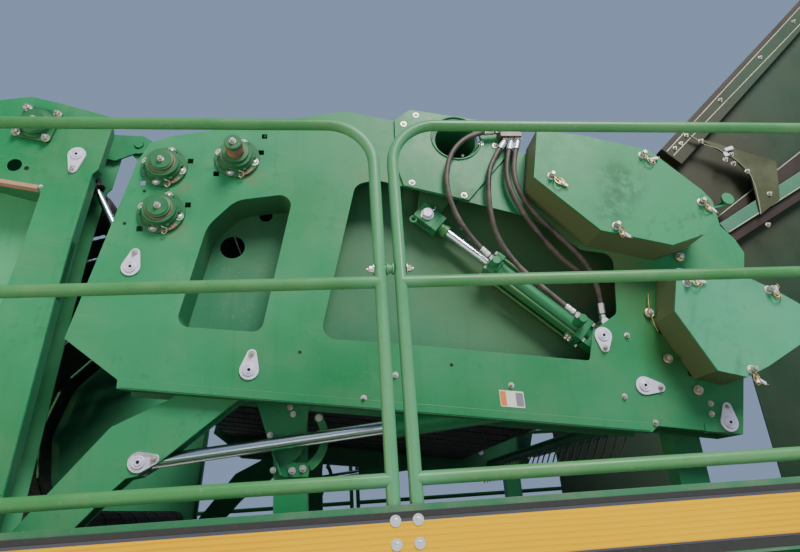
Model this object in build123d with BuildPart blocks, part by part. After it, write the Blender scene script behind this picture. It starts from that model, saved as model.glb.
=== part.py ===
from build123d import *

import os
from math import asin, atan2, ceil, cos, degrees, hypot, pi, radians, sin, sqrt, tan

# Round bale builder section of a cotton stripper, with its guarded side walkways.
# All sizes are in millimetres. X runs forward, Y to the machine's left and Z up. The origin is
# the centre of the bolt pattern under the four mounting pads. The right side (minus Y) is the
# one with the chain covers and the hoses; most other pieces are the same on both sides.

os.makedirs("parts", exist_ok=True)

# Planes across the machine, as distances from its centre plane
WALL_Y = 1250
WALL_T = 6
BOX_DEEP = 150
SKIN_Y = WALL_Y + BOX_DEEP
SKIN_T = 5
RAM_IN = 60
RAM_Y = WALL_Y + RAM_IN
PLATE_T = 10
LIP = 35
SHEET = 6
TOUCH = 0.3
RUN = 1.0

# Mounting pads and the ladder frame
PAD_X = 900
PAD_LONG = 200
PAD_WIDE = 260
PAD_T = 20
BOLT_R = 13
RAIL_BEAM_Y = 620
RAIL_BEAM_WIDE = 120
RAIL_BEAM_TOP = 180
FRAME_REAR = -1260
FRAME_FRONT = 2260
CROSS_X = (-560, 960, 1600, 2160)
CROSS_LONG = 120
CROSS_TOP = 260

# Walkways and their edge
WALK_REAR = -1680
WALK_FRONT = 1700
DECK_Z = 384
DECK_T = 5
DECK_OFF = 50
DECK_IN = SKIN_Y + DECK_OFF
DECK_WIDE = 540
RAIL_Y = DECK_IN + DECK_WIDE
TUBE_R = 17
FASCIA_IN = RAIL_Y + TUBE_R + TOUCH
FASCIA_T = 5
CROSS_SHORT = 40
CROSS_REACH = RAIL_Y - CROSS_SHORT
FASCIA_LOW = 262
TOE_TOP = 425
EDGE_FLANGE = 60
STRIP_LOW = 293
STRIP_TOP = 396
STRIP_T = 2

# Guard rails: upside down U tubes with two lower rails
POST_REAR_X = -266
POST_FRONT_X = -210
RAIL_REAR_END = -1640
RAIL_FRONT_END = 1660
RAIL_TOP = 1505
RAIL_MID = 990
RAIL_LOW = 481
RAIL_BEND = 140
POST_FOOT = 275
SPACER_Z = 1028
SPACER_R = 12
POST_HOLE_R = 22

# Outlines of the builder's front frame, seen from the right
SKIN_OUTLINE = [
    (-1325, 1040), (-1133, 887), (-1133, 857), (743, 611), (772, 631), (1093, 584),
    (1323, 1313), (1298, 1378), (1251, 1439), (1251, 1561), (412, 1812), (-114, 1967),
    (-320, 2015), (-1034, 1882), (-1112, 1848), (-1153, 1761),
]
WALL_OUTLINE = [
    (-1325, 1040), (-1133, 887), (-1133, 857), (743, 611), (772, 631), (1093, 584),
    (1323, 1313), (1298, 1378), (1251, 1439), (1251, 1561), (430, 1808), (443, 1934),
    (-45, 2019), (-114, 1967), (-320, 2015), (-1034, 1882), (-1112, 1848), (-1153, 1761),
]
FOLD = [(-1124, 860), (736, 616), (736, 644), (-1124, 888)]
FOLD_T = 2.5
RECESS = [(-292, 1652), (-205, 1672), (425, 1492), (612, 1340), (745, 1318), (705, 1064),
          (593, 997), (559, 883), (-109, 969), (-445, 1008)]
RECESS_R = [55, 40, 25, 40, 45, 30, 12, 12, 8, 50]
WINDOW = [(-540, 1612), (-655, 1038), (-958, 1072), (-868, 1470), (-765, 1582)]
WINDOW_R = [45, 38, 42, 140, 110]
PIVOT_PLATE = [(-114, 1967), (-45, 2019), (443, 1934), (353, 1775), (170, 1568), (-95, 1640),
               (-120, 1740)]
WALL_HOLES = [(-796, 1448, 49), (-665, 1591, 27)]

# Large torsion tube of the belt tensioner
TORSION = (148, 1872)
TORSION_R = 98
TORSION_BORE = 88
TORSION_HOLE = 104
TORSION_RING = 110
TORSION_END = SKIN_Y - 12

# Tensioner cylinder, from the lever's pin to its base pin
LEVER_PIN = (5, 1543)
BASE_PIN = (630, 977)
LEVER_T = 22
LEVER_R = 42
LEVER_ROOT_R = TORSION_R + 25
CLEVIS_WIDE = 62
CLEVIS_GAP = LEVER_T + 2 * RUN
CLEVIS_BACK = 44
CLEVIS_FRONT = 74
CLEVIS_HALF = 40
CLEVIS_SLOT = 50
GLAND_R = 27
GLAND_START = 92
GLAND_LONG = 20
TENSION_ROD_R = 19
TENSION_BARREL_R = 44
TENSION_BARREL_START = 325
TENSION_BORE = 24
EYE_R = 40

# Pins with keyhole retainer plates: big end and small end
PIN_R = 20
PIN_HOLE = PIN_R + TOUCH
KEY_BIG = 34
KEY_SMALL = 17
KEY_T = 6
GATE_LINK_PIN = (-1131, 1304)
CRADLE_PIN = (-693, 900)
CRADLE_BASE_PIN = (752, 779)
FOOT_PIN = (1049, 629)
PLATES = [
    (GATE_LINK_PIN, (-1120, 1361)),
    (CRADLE_PIN, (-685, 958)),
    (BASE_PIN, (627, 929)),
    (CRADLE_BASE_PIN, (812, 769)),
    (FOOT_PIN, (1056, 685)),
]

# Rollers and their flanged bearings
ROLL_TOP = (-1044, 1731)
ROLL_REAR = (-1039, 1527)
ROLL_CORNER = (-1165, 1075)
ROLL_FEED = (560, 800)
ROLL_CARRY = (-764, 1771)
ROLL_DRIVE = (915, 1500)
ROLL_LOW_DRIVE = (1125, 960)
FRONT_ROLLS = [ROLL_TOP, ROLL_REAR, ROLL_CORNER, ROLL_FEED, ROLL_CARRY, ROLL_DRIVE, ROLL_LOW_DRIVE]
ROLL_R = 62
BELT_T = 8
SHAFT_R = 25
SHAFT_HOLE = 45
ROLL_SIDE = 25
ROLL_FACE = WALL_Y - ROLL_SIDE
BELT_SIDE = 30
BELT_FACE = ROLL_FACE - BELT_SIDE
BEARING_FLANGE_R = 88
BEARING_FLANGE_T = 14
BEARING_BODY_R = 62
BEARING_BODY_T = 32
BEARING_GROOVE_R = 56
BEARING_GROOVE_AT = 18
BEARING_GROOVE_T = 4
BEARING_CAP_R = 42
BEARING_CAP_T = 18
BEARING_DOME_R = 34
BEARING_COLLAR_R = 50
BEARING_COLLAR_T = 12
BEARING_NECK_R = 34
BEARINGS = [(ROLL_TOP, 0), (ROLL_REAR, 0), (ROLL_CARRY, 60)]
SQUARE_HOLES = [(-949, 1763), (-1123, 1664), (-946, 1563), (-1116, 1463), (-672, 1804),
                (-846, 1704), (-660, 1883)]
SQUARE = 22

# Chain covers on the right side
COVER_T = 4
COVER_BACK = SKIN_Y + RUN
COVER_DEEP = 150
COVER_FACE = SKIN_Y + COVER_DEEP
COVER_UPPER = [(453, 1819), (653, 1786), (917, 1718), (1099, 1527), (1129, 1481), (1107, 1391),
               (1056, 1330), (911, 1286), (634, 1354), (404, 1591)]
COVER_LOWER = [(902, 1190), (1170, 1150), (1278, 1088), (1358, 1031), (1353, 948), (1303, 875),
               (1154, 801), (1061, 766), (955, 794), (850, 1020)]
STUDS_UPPER = [(475, 1594), (879, 1692), (1077, 1471), (697, 1370)]
STUDS_LOWER = [(925, 1128), (1247, 1091), (1082, 791)]
STUD_R = 8
STUD_TAB = (879, 1660)
STUD_HOLE = 8.5
STUD_END = COVER_FACE + 30

# Chain drives under the covers: driven shaft, its teeth, the driver's teeth, the links, and
# which way the driver lies
CHAIN_PITCH = 31.75
CHAIN_ROLLER_R = 9.5
CHAIN_PIN_R = 5
CHAIN_PIN_HALF = 14
LINK_HALF = 12
LINK_NARROW = 7
LINK_INNER = 7
LINK_OUTER = 9.6
LINK_T = 2.4
DRIVE_UPPER = (ROLL_DRIVE, 21, 20, 40, (-305, 80))
DRIVE_LOWER = (ROLL_LOW_DRIVE, 17, 9, 24, (-165, 80))
SPROCKET_Y = SKIN_Y + 40
SPROCKET_T = 12
SEAT_GAP = 0.6
TOOTH_HIGH = 6
TOOTH_FLARE = 9
TOOTH_CUT = 14
HUB_R = 45
HUB_STEP = 7
HUB_LONG = 30

# Rear gate
HINGE = (-1200, 1930)
GATE_OUTLINE = [
    (-1455, 300), (-1435, 536), (-1377, 1189), (-1353, 1420), (-1316, 1702), (-1296, 1725),
    (-1268, 1906), (-1279, 1974), (-1341, 1996), (-1466, 2036), (-1594, 2072), (-1712, 2054),
    (-2150, 1890), (-2530, 1540), (-2700, 1080), (-2640, 660), (-2450, 330),
]
GATE_WINDOW = [(-1490, 1637), (-1520, 1400), (-1600, 880), (-2140, 880), (-2260, 1300), (-2010, 1800)]
GATE_WINDOW_R = [28, 200, 90, 90, 200, 110]
GATE_BEARING = (-1550, 1936)
GATE_PIN = (-1382, 1790)
GATE_HOLES = [(-1606, 1746, 27), (-1700, 1775, 27)]
GATE_ROLLS = [(-1560, 1925), (-2095, 1775), (-2420, 1450), (-2545, 1075), (-2500, 720), (-2360, 470),
              (-1560, 430)]
GATE_TUBES = [(-1900, 1943), (-2634, 900), (-2300, 362)]
GATE_TUBE_R = 28
GATE_LOOP_R = 70
GATE_EDGE_FRONT = -1100
GATE_EDGE_LOW = 900

# Hinge of the gate: the frame's ears and the gate's ears round one pin
EAR_T = 8
EAR_GAP = 5
EAR_R = 45
HINGE_PIN_R = 18
FRAME_EAR = [(-1232, 1962), (-1240, 1900), (-1150, 1790), (-1095, 1790), (-1060, 1870), (-1168, 1968)]
GATE_EAR = [(-1480, 1990), (-1215, 1975), (-1160, 1910), (-1290, 1850), (-1480, 1900)]
GATE_EAR_PAD = [(-1480, 1990), (-1300, 1978), (-1300, 1860), (-1480, 1900)]

# Lift cylinders of the gate, held by trunnions on the gate
GATE_ROD_R = 13
GATE_EYE_R = 34
GATE_EYE_T = 36
GATE_PIN_SMALL = (-1388, 1726)
GATE_BARREL_R = 32
GATE_BARREL_START = 430
GATE_BARREL_END = 720
GATE_BORE = 17
TRUNNION_R = 14

# Bale cradle behind the frame
CRADLE_OFF = 20
CRADLE_WIDE = 85
CRADLE_IN = WALL_Y + CRADLE_OFF
CRADLE_OUT = CRADLE_IN + CRADLE_WIDE
CRADLE_PLATE = 12
ARM_OUTLINE = [
    (-2640, 190), (-1580, 235), (-1411, 434), (-1153, 736), (-974, 818), (-728, 960),
    (-663, 837), (-744, 799), (-987, 610), (-1051, 572), (-1088, 566), (-1124, 534), (-1232, 422),
    (-1552, 90), (-2640, 110),
]
ARM_UPPER_EDGE = [(-2640, 190), (-1580, 235), (-1411, 434), (-1153, 736), (-974, 818), (-970, 808),
                  (-1147, 727), (-1403, 427), (-1574, 225), (-2640, 180)]
ARM_LOWER_EDGE = [(-1232, 422), (-1552, 90), (-2640, 110), (-2640, 120), (-1556, 101), (-1240, 430)]
ARM_EYE_R = 70
ROD_PIN = (-1051, 615)
ROD_PIN_SMALL = (-1001, 622)
CRADLE_ROLLS = [(-1780, 205), (-2110, 195), (-2440, 185)]
CRADLE_BARS = [(-1620, 150), (-2590, 150)]
CRADLE_ROLL_R = 45
CRADLE_BAR_R = 35
RAM_ROD_R = 23
RAM_EYE_T = 44
RAM_BARREL_R = 42
RAM_BORE = 27
RAM_EXPOSED = 835
RAM_INSIDE = 170

# Feed hood ahead of the frame
HOOD_OFF = 50
HOOD_Y = WALL_Y - HOOD_OFF
HOOD_T = 5
HOOD_OUTLINE = [(1191, 1932), (1191, 1700), (1300, 1620), (1350, 1420), (1350, 260), (2300, 260),
                (2300, 2955)]
HOOD_RIM = [(1191, 1932), (1276, 1848), (2300, 2795), (2300, 2955)]
HOOD_RIM_T = 45
HOOD_ROOF = [(1198, 1932), (2300, 2948)]
HOOD_ROOF_T = 7
HOOD_BEAM = [(1392, 1470), (1364, 1522), (2300, 2036), (2300, 1950)]
HOOD_BEAM_T = 60
HOOD_BRACKET = [(1343, 1992), (1465, 1952), (1752, 1848), (1700, 1640), (1575, 1560), (1592, 1765),
                (1540, 1858), (1462, 1922)]
HOOD_TUBE = [(1420, 1560), (2290, 2040)]
HOOD_TUBE_R = 30

# Guide plate with its curved arm, under each wall
GUIDE_T = 8
GUIDE_ARM_T = 6
GUIDE_LIP_HIGH = 12
GUIDE_PLATE = [(-705, 880), (-485, 850), (-504, 682), (-520, 620), (-555, 592), (-526, 562),
               (-530, 540), (-585, 546), (-628, 640)]
GUIDE_LIP = [(-637, 655), (-594, 549), (-586, 552), (-629, 658)]
GUIDE_FOOT = [(-572, 583), (-553, 594), (-500, 588), (-492, 564), (-497, 540), (-560, 544)]
GUIDE_EYE = (-456, 744)

# Cross tubes between the walls: centre and radius
CROSS_TUBES = [(-300, 1930, 45), (1200, 1440, 45), (1180, 760, 45), (-880, 1830, 32), (820, 690, 32)]

# Top sheet between the walls, under their upper edge
TOP_SHEET = [(-1034, 1876), (-320, 2009), (-150, 1972)]
TOP_SHEET_T = 5

# Posts between the ladder frame and the front frame
POST_WIDE = 120
POST_DEEP = 80
POSTS = [(-560, 846), (960, 700)]

# Hose runs, as points on each hose's centre line
HOSE_R = 11
HOSE_LOOP = [(310, -1440, 1886), (215, -1440, 1880), (108, -1440, 1785), (72, -1438, 1640),
             (100, -1425, 1498), (170, -1400, 1385), (232, -1385, 1325)]
HOSE_BASE = [(350, -1436, 1838), (275, -1436, 1735), (250, -1436, 1625), (248, -1420, 1495),
             (275, -1400, 1381), (345, -1392, 1268), (455, -1392, 1155), (540, -1392, 1072)]
HOSE_FRONT = [(378, -1436, 1838), (341, -1436, 1735), (336, -1434, 1620), (382, -1428, 1500),
              (455, -1410, 1385), (560, -1370, 1285), (690, -1330, 1228), (830, -1320, 1215)]
HOSE_DOWN = [(406, -1440, 1838), (371, -1440, 1735), (366, -1438, 1622), (420, -1434, 1500),
             (525, -1420, 1388), (622, -1398, 1290), (668, -1372, 1185), (668, -1355, 1075)]
FITTING_R = 12
FITTING_LONG = 30
PORT_R = 16
HEAD_PORT = (254, -1385, 1304)
REAR_PORT = (563, -1392, 1049)
FRONT_PORT = (862, -1320, 1212)
DOWN_PORT = (668, -1355, 1043)
HOSES = [("hose_loop", HOSE_LOOP), ("hose_base", HOSE_BASE), ("hose_front", HOSE_FRONT),
         ("hose_down", HOSE_DOWN)]


def side(distance):
    """Plane facing outwards on the right side, this far from the centre plane."""
    return Plane.XZ.offset(distance)


def rounded(points, radii):
    """Closed outline with its own arc at each corner."""
    with BuildSketch() as shape:
        with BuildLine():
            FilletPolyline(*points, radius=radii, close=True)
        make_face()
    return shape.sketch


def strap(first, first_r, second, second_r):
    """Outline of a belt or plate drawn round two circles."""
    with BuildSketch() as shape:
        with Locations(first):
            Circle(first_r)
        with Locations(second):
            Circle(second_r)
        make_hull()
    return shape.sketch


def along(start, end, distance):
    """Plane square to the line between two side points, this far along it."""
    dx = end[0] - start[0]
    dz = end[1] - start[1]
    length = hypot(dx, dz)
    origin = (start[0] + dx / length * distance, -RAM_Y, start[1] + dz / length * distance)
    return Plane(origin=origin, x_dir=(0, 1, 0), z_dir=(dx / length, 0, dz / length))


def stub_plane(before, end):
    """Plane square to a hose at its end, facing on past the end."""
    ahead = (Vector(*end) - Vector(*before)).normalized()
    return Plane(origin=Vector(*end) + ahead * TOUCH, z_dir=ahead)


def save(piece, name):
    """Write one named piece."""
    piece.part.label = name
    export_step(piece.part, f"parts/{name}.step")


# Ladder frame
with BuildPart() as frame_rails:
    for turn in (-1, 1):
        with BuildSketch(Plane.XY.offset(PAD_T)):
            with Locations(((FRAME_REAR + FRAME_FRONT) / 2, turn * RAIL_BEAM_Y)):
                Rectangle(FRAME_FRONT - FRAME_REAR, RAIL_BEAM_WIDE)
        extrude(amount=RAIL_BEAM_TOP - PAD_T)
    with BuildSketch(Plane.XY):
        with GridLocations(2 * PAD_X, 2 * (RAIL_BEAM_Y + PAD_WIDE / 2 - RAIL_BEAM_WIDE / 2), 2, 2):
            Rectangle(PAD_LONG, PAD_WIDE)
        with GridLocations(2 * PAD_X, 2 * (RAIL_BEAM_Y + RAIL_BEAM_WIDE / 2 + 70), 2, 2):
            Circle(BOLT_R, mode=Mode.SUBTRACT)
    extrude(amount=PAD_T)
save(frame_rails, "frame_rails")

with BuildPart() as cross_beams:
    with BuildSketch(Plane.XY.offset(RAIL_BEAM_TOP)):
        for x in CROSS_X:
            with Locations((x, 0)):
                Rectangle(CROSS_LONG, 2 * CROSS_REACH)
    extrude(amount=CROSS_TOP - RAIL_BEAM_TOP)
save(cross_beams, "cross_beams")

# Walkways: deck, outer fascia with toe board, inner edge
WALK_MID = (WALK_REAR + WALK_FRONT) / 2
WALK_LONG = WALK_FRONT - WALK_REAR
POST_XS = (RAIL_REAR_END, POST_REAR_X, POST_FRONT_X, RAIL_FRONT_END)
with BuildPart() as walkway_right:
    with BuildSketch(Plane.XY.offset(DECK_Z - DECK_T)):
        with Locations((WALK_MID, -(DECK_IN + FASCIA_IN) / 2)):
            Rectangle(WALK_LONG, FASCIA_IN - DECK_IN)
        with Locations(*[(x, -RAIL_Y) for x in POST_XS]):
            Circle(POST_HOLE_R, mode=Mode.SUBTRACT)
    extrude(amount=DECK_T)
    with BuildSketch(side(FASCIA_IN)):
        with Locations((WALK_MID, (FASCIA_LOW + TOE_TOP) / 2)):
            Rectangle(WALK_LONG, TOE_TOP - FASCIA_LOW)
    extrude(amount=FASCIA_T)
    with BuildSketch(side(DECK_IN)):
        with Locations((WALK_MID, (FASCIA_LOW + DECK_Z) / 2)):
            Rectangle(WALK_LONG, DECK_Z - FASCIA_LOW)
    extrude(amount=FASCIA_T)
    with BuildSketch(Plane.XY.offset(FASCIA_LOW - 2)):
        with Locations((WALK_MID, -(DECK_IN + EDGE_FLANGE / 2))):
            Rectangle(WALK_LONG, EDGE_FLANGE)
    extrude(amount=DECK_T)
with BuildPart() as walkways:
    add(walkway_right.part)
    add(walkway_right.part.mirror(Plane.XZ))
save(walkways, "walkways")

with BuildPart() as edge_strips:
    for turn in (-1, 1):
        with BuildSketch(Plane.XZ.offset(-turn * (FASCIA_IN + FASCIA_T + STRIP_T / 2))):
            with Locations((WALK_MID, (STRIP_LOW + STRIP_TOP) / 2)):
                Rectangle(WALK_LONG, STRIP_TOP - STRIP_LOW)
        extrude(amount=STRIP_T / 2, both=True)
save(edge_strips, "edge_strips")

# Guard rails
for name, post_x, end_x in (("guard_rails_rear", POST_REAR_X, RAIL_REAR_END),
                            ("guard_rails_front", POST_FRONT_X, RAIL_FRONT_END)):
    with BuildPart() as guard:
        for turn in (-1, 1):
            with BuildLine():
                FilletPolyline((post_x, turn * RAIL_Y, POST_FOOT), (post_x, turn * RAIL_Y, RAIL_TOP),
                               (end_x, turn * RAIL_Y, RAIL_TOP), (end_x, turn * RAIL_Y, POST_FOOT),
                               radius=RAIL_BEND)
            with BuildSketch(Plane(origin=(post_x, turn * RAIL_Y, POST_FOOT), z_dir=(0, 0, 1))):
                Circle(TUBE_R)
            sweep()
            with BuildSketch(Plane.YZ.offset(min(post_x, end_x))):
                with Locations((turn * RAIL_Y, RAIL_MID), (turn * RAIL_Y, RAIL_LOW)):
                    Circle(TUBE_R)
            extrude(amount=abs(end_x - post_x))
        if post_x == POST_REAR_X:
            with BuildSketch(Plane.YZ.offset(POST_REAR_X)):
                with Locations((RAIL_Y, SPACER_Z), (-RAIL_Y, SPACER_Z)):
                    Circle(SPACER_R)
            extrude(amount=POST_FRONT_X - POST_REAR_X - TUBE_R - TOUCH)
    save(guard, name)

# Front frame skins
SHAFTS = [ROLL_TOP, ROLL_REAR, ROLL_CARRY, ROLL_DRIVE, ROLL_LOW_DRIVE]
with BuildPart() as skin_right:
    with BuildSketch(side(SKIN_Y)):
        Polygon(*SKIN_OUTLINE, align=None)
        add(rounded(RECESS, RECESS_R), mode=Mode.SUBTRACT)
        add(rounded(WINDOW, WINDOW_R), mode=Mode.SUBTRACT)
        with Locations(TORSION):
            Circle(TORSION_HOLE, mode=Mode.SUBTRACT)
        with Locations(*SHAFTS):
            Circle(SHAFT_HOLE, mode=Mode.SUBTRACT)
        with Locations(*[plate[0] for plate in PLATES]):
            Circle(PIN_HOLE, mode=Mode.SUBTRACT)
        with Locations(*SQUARE_HOLES):
            Rectangle(SQUARE, SQUARE, mode=Mode.SUBTRACT)
    extrude(amount=-SKIN_T)
    with BuildSketch(side(SKIN_Y)):
        Polygon(*FOLD, align=None)
    extrude(amount=FOLD_T)
save(skin_right, "skin_right")
with BuildPart() as skin_left:
    add(skin_right.part.mirror(Plane.XZ))
save(skin_left, "skin_left")

# Folded edges between each skin and its wall
DEPTH = SKIN_Y - SKIN_T - WALL_Y
with BuildPart() as lips_right:
    with BuildSketch(side(SKIN_Y - SKIN_T)):
        Polygon(*SKIN_OUTLINE, align=None)
        offset(amount=-SHEET, mode=Mode.SUBTRACT)
        with Locations(TORSION):
            Circle(TORSION_HOLE, mode=Mode.SUBTRACT)
    extrude(amount=-LIP)
    with BuildSketch(side(SKIN_Y - SKIN_T)):
        Polygon((-1034, 1882), (-320, 2015), (-320, 2009), (-1034, 1876), align=None)
        Polygon((1093, 584), (1323, 1313), (1316, 1313), (1086, 584), align=None)
    extrude(amount=-DEPTH)
save(lips_right, "lips_right")
with BuildPart() as lips_left:
    add(lips_right.part.mirror(Plane.XZ))
save(lips_left, "lips_left")
with BuildPart() as window_rim_right:
    with BuildSketch(side(SKIN_Y - SKIN_T)):
        add(rounded(WINDOW, WINDOW_R))
        offset(amount=SHEET)
        add(rounded(WINDOW, WINDOW_R), mode=Mode.SUBTRACT)
    extrude(amount=-DEPTH)
with BuildPart() as window_rims:
    add(window_rim_right.part)
    add(window_rim_right.part.mirror(Plane.XZ))
save(window_rims, "window_rims")

with BuildPart() as wall_right:
    with BuildSketch(side(WALL_Y)):
        Polygon(*WALL_OUTLINE, align=None)
        with Locations(TORSION):
            Circle(TORSION_R + TOUCH, mode=Mode.SUBTRACT)
        with Locations(*FRONT_ROLLS):
            Circle(SHAFT_R + RUN, mode=Mode.SUBTRACT)
        with Locations(*[plate[0] for plate in PLATES]):
            Circle(PIN_HOLE, mode=Mode.SUBTRACT)
        for x, z, radius in WALL_HOLES:
            with Locations((x, z)):
                Circle(radius, mode=Mode.SUBTRACT)
    extrude(amount=-WALL_T)
with BuildPart() as walls:
    add(wall_right.part)
    add(wall_right.part.mirror(Plane.XZ))
save(walls, "walls")

with BuildPart() as pivot_plate_right:
    with BuildSketch(side(SKIN_Y)):
        Polygon(*PIVOT_PLATE, align=None)
        with Locations(TORSION):
            Circle(TORSION_HOLE, mode=Mode.SUBTRACT)
    extrude(amount=PLATE_T)
    with BuildSketch(side(SKIN_Y)):
        with Locations(TORSION):
            Circle(TORSION_RING)
            Circle(TORSION_HOLE, mode=Mode.SUBTRACT)
    extrude(amount=PLATE_T + 6)
with BuildPart() as pivot_plates:
    add(pivot_plate_right.part)
    add(pivot_plate_right.part.mirror(Plane.XZ))
save(pivot_plates, "pivot_plates")

# Posts from the ladder frame up to the walls
with BuildPart() as posts:
    for turn in (-1, 1):
        for x, top in POSTS:
            with BuildSketch(Plane.XY.offset(CROSS_TOP)):
                with Locations((x, turn * (WALL_Y - WALL_T - POST_DEEP / 2))):
                    Rectangle(POST_WIDE, POST_DEEP)
            extrude(amount=top - CROSS_TOP)
save(posts, "posts")

with BuildPart() as cross_tubes:
    for x, z, radius in CROSS_TUBES:
        with BuildSketch(Plane.XZ):
            with Locations((x, z)):
                Circle(radius)
        extrude(amount=WALL_Y - WALL_T, both=True)
save(cross_tubes, "cross_tubes")

# Sheet over the chamber, between the walls
with BuildPart() as top_sheet:
    with BuildSketch(Plane.XZ):
        Polygon(*TOP_SHEET, *[(x, z - TOP_SHEET_T) for x, z in reversed(TOP_SHEET)], align=None)
    extrude(amount=WALL_Y - WALL_T - TOUCH, both=True)
save(top_sheet, "top_sheet")

# Rollers inside the front frame
with BuildPart() as front_rollers:
    for centre in FRONT_ROLLS:
        with BuildSketch(Plane.XZ):
            with Locations(centre):
                Circle(ROLL_R)
        extrude(amount=ROLL_FACE, both=True)
        with BuildSketch(Plane.XZ):
            with Locations(centre):
                Circle(SHAFT_R)
        extrude(amount=SKIN_Y - TOUCH if centre in SHAFTS else WALL_Y + 5, both=True)
save(front_rollers, "front_rollers")

LOOP_R = ROLL_R + TOUCH
with BuildPart() as front_belts:
    with BuildSketch(Plane.XZ):
        for first, second in ((ROLL_TOP, ROLL_REAR), (ROLL_REAR, ROLL_CORNER), (ROLL_CORNER, ROLL_FEED)):
            add(strap(first, LOOP_R + BELT_T, second, LOOP_R + BELT_T))
        for first, second in ((ROLL_TOP, ROLL_REAR), (ROLL_REAR, ROLL_CORNER), (ROLL_CORNER, ROLL_FEED)):
            add(strap(first, LOOP_R, second, LOOP_R), mode=Mode.SUBTRACT)
        add(strap(ROLL_CARRY, LOOP_R + BELT_T, ROLL_DRIVE, LOOP_R + BELT_T))
        add(strap(ROLL_CARRY, LOOP_R, ROLL_DRIVE, LOOP_R), mode=Mode.SUBTRACT)
    extrude(amount=BELT_FACE, both=True)
save(front_belts, "front_belts")

# Flanged bearings on both skins
with BuildPart() as bearing_right:
    for centre, neck in BEARINGS:
        body = BEARING_FLANGE_T + BEARING_BODY_T
        groove = BEARING_FLANGE_T + BEARING_GROOVE_AT
        top = body + BEARING_CAP_T
        profile = [(0, 0), (BEARING_FLANGE_R, 0), (BEARING_FLANGE_R, BEARING_FLANGE_T - 2),
                   (BEARING_FLANGE_R - 2, BEARING_FLANGE_T), (BEARING_BODY_R + 4, BEARING_FLANGE_T),
                   (BEARING_BODY_R, groove), (BEARING_GROOVE_R, groove),
                   (BEARING_GROOVE_R, groove + BEARING_GROOVE_T), (BEARING_BODY_R - 2, groove + BEARING_GROOVE_T),
                   (BEARING_BODY_R - 4, body)]
        if neck:
            profile += [(BEARING_COLLAR_R, body), (BEARING_COLLAR_R, body + BEARING_COLLAR_T),
                        (BEARING_NECK_R, body + BEARING_COLLAR_T), (BEARING_NECK_R, top + neck),
                        (0, top + neck)]
        else:
            profile += [(BEARING_CAP_R, body), (BEARING_CAP_R, top - 6), (BEARING_DOME_R, top), (0, top)]
        seat = Plane(origin=(centre[0], -SKIN_Y, centre[1]), x_dir=(1, 0, 0), z_dir=(0, 0, 1))
        with BuildSketch(seat):
            Polygon(*[(radius, -reach) for radius, reach in profile], align=None)
        revolve(axis=Axis(seat.origin, (0, 1, 0)))
with BuildPart() as bearings:
    add(bearing_right.part)
    add(bearing_right.part.mirror(Plane.XZ))
save(bearings, "bearings")

# Torsion tube with the tensioner's levers
with BuildPart() as torsion_tube:
    for turn in (-1, 1):
        with BuildSketch(Plane.XZ.offset(-turn * (RAM_Y - LEVER_T / 2))):
            add(strap(TORSION, LEVER_ROOT_R, LEVER_PIN, LEVER_R))
            with Locations(LEVER_PIN):
                Circle(PIN_HOLE, mode=Mode.SUBTRACT)
        extrude(amount=-turn * LEVER_T)
    with BuildSketch(Plane.XZ):
        with Locations(TORSION):
            Circle(TORSION_R)
    extrude(amount=TORSION_END, both=True)
    with BuildSketch(Plane.XZ):
        with Locations(TORSION):
            Circle(TORSION_BORE)
    extrude(amount=TORSION_END, both=True, mode=Mode.SUBTRACT)
save(torsion_tube, "torsion_tube")

# Tensioner cylinders
TENSION_LONG = hypot(BASE_PIN[0] - LEVER_PIN[0], BASE_PIN[1] - LEVER_PIN[1])
with BuildPart() as tension_rod_right:
    with BuildSketch(along(LEVER_PIN, BASE_PIN, -CLEVIS_BACK)):
        RectangleRounded(CLEVIS_WIDE, 2 * CLEVIS_HALF, 6)
    extrude(amount=CLEVIS_BACK + CLEVIS_FRONT)
    with BuildSketch(along(LEVER_PIN, BASE_PIN, CLEVIS_FRONT)):
        Circle(TENSION_ROD_R)
    extrude(amount=TENSION_BARREL_START - CLEVIS_FRONT + 120)
    with BuildSketch(along(LEVER_PIN, BASE_PIN, GLAND_START)):
        Circle(GLAND_R)
    extrude(amount=GLAND_LONG)
    with BuildSketch(along(LEVER_PIN, BASE_PIN, -CLEVIS_BACK)):
        Rectangle(CLEVIS_GAP, 3 * CLEVIS_HALF)
    extrude(amount=CLEVIS_BACK + CLEVIS_SLOT, mode=Mode.SUBTRACT)
    with BuildSketch(side(RAM_Y)):
        with Locations(LEVER_PIN):
            Circle(PIN_HOLE)
    extrude(amount=CLEVIS_WIDE, both=True, mode=Mode.SUBTRACT)
with BuildPart() as tension_rods:
    add(tension_rod_right.part)
    add(tension_rod_right.part.mirror(Plane.XZ))
save(tension_rods, "tension_rods")

with BuildPart() as tension_barrel_right:
    with BuildSketch(along(LEVER_PIN, BASE_PIN, TENSION_BARREL_START)):
        Circle(TENSION_BARREL_R)
    extrude(amount=TENSION_LONG - TENSION_BARREL_START - 30)
    with BuildSketch(along(LEVER_PIN, BASE_PIN, TENSION_BARREL_START)):
        Circle(TENSION_BORE)
    extrude(amount=TENSION_LONG - TENSION_BARREL_START - 70, mode=Mode.SUBTRACT)
    with BuildSketch(side(RAM_Y)):
        with Locations(BASE_PIN):
            Circle(EYE_R)
    extrude(amount=28, both=True)
    for points, port in ((HOSE_LOOP, HEAD_PORT), (HOSE_BASE, REAR_PORT)):
        with BuildSketch(side(RAM_Y + TENSION_BORE + 4)):
            with Locations((port[0], port[2])):
                Circle(PORT_R)
        extrude(amount=-port[1] + PORT_R - RAM_Y - TENSION_BORE - 4)
        with BuildSketch(stub_plane(points[-2], points[-1])):
            Circle(FITTING_R)
        extrude(amount=FITTING_LONG)
    with BuildSketch(side(RAM_Y)):
        with Locations(BASE_PIN):
            Circle(PIN_HOLE)
    extrude(amount=EYE_R, both=True, mode=Mode.SUBTRACT)
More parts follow.
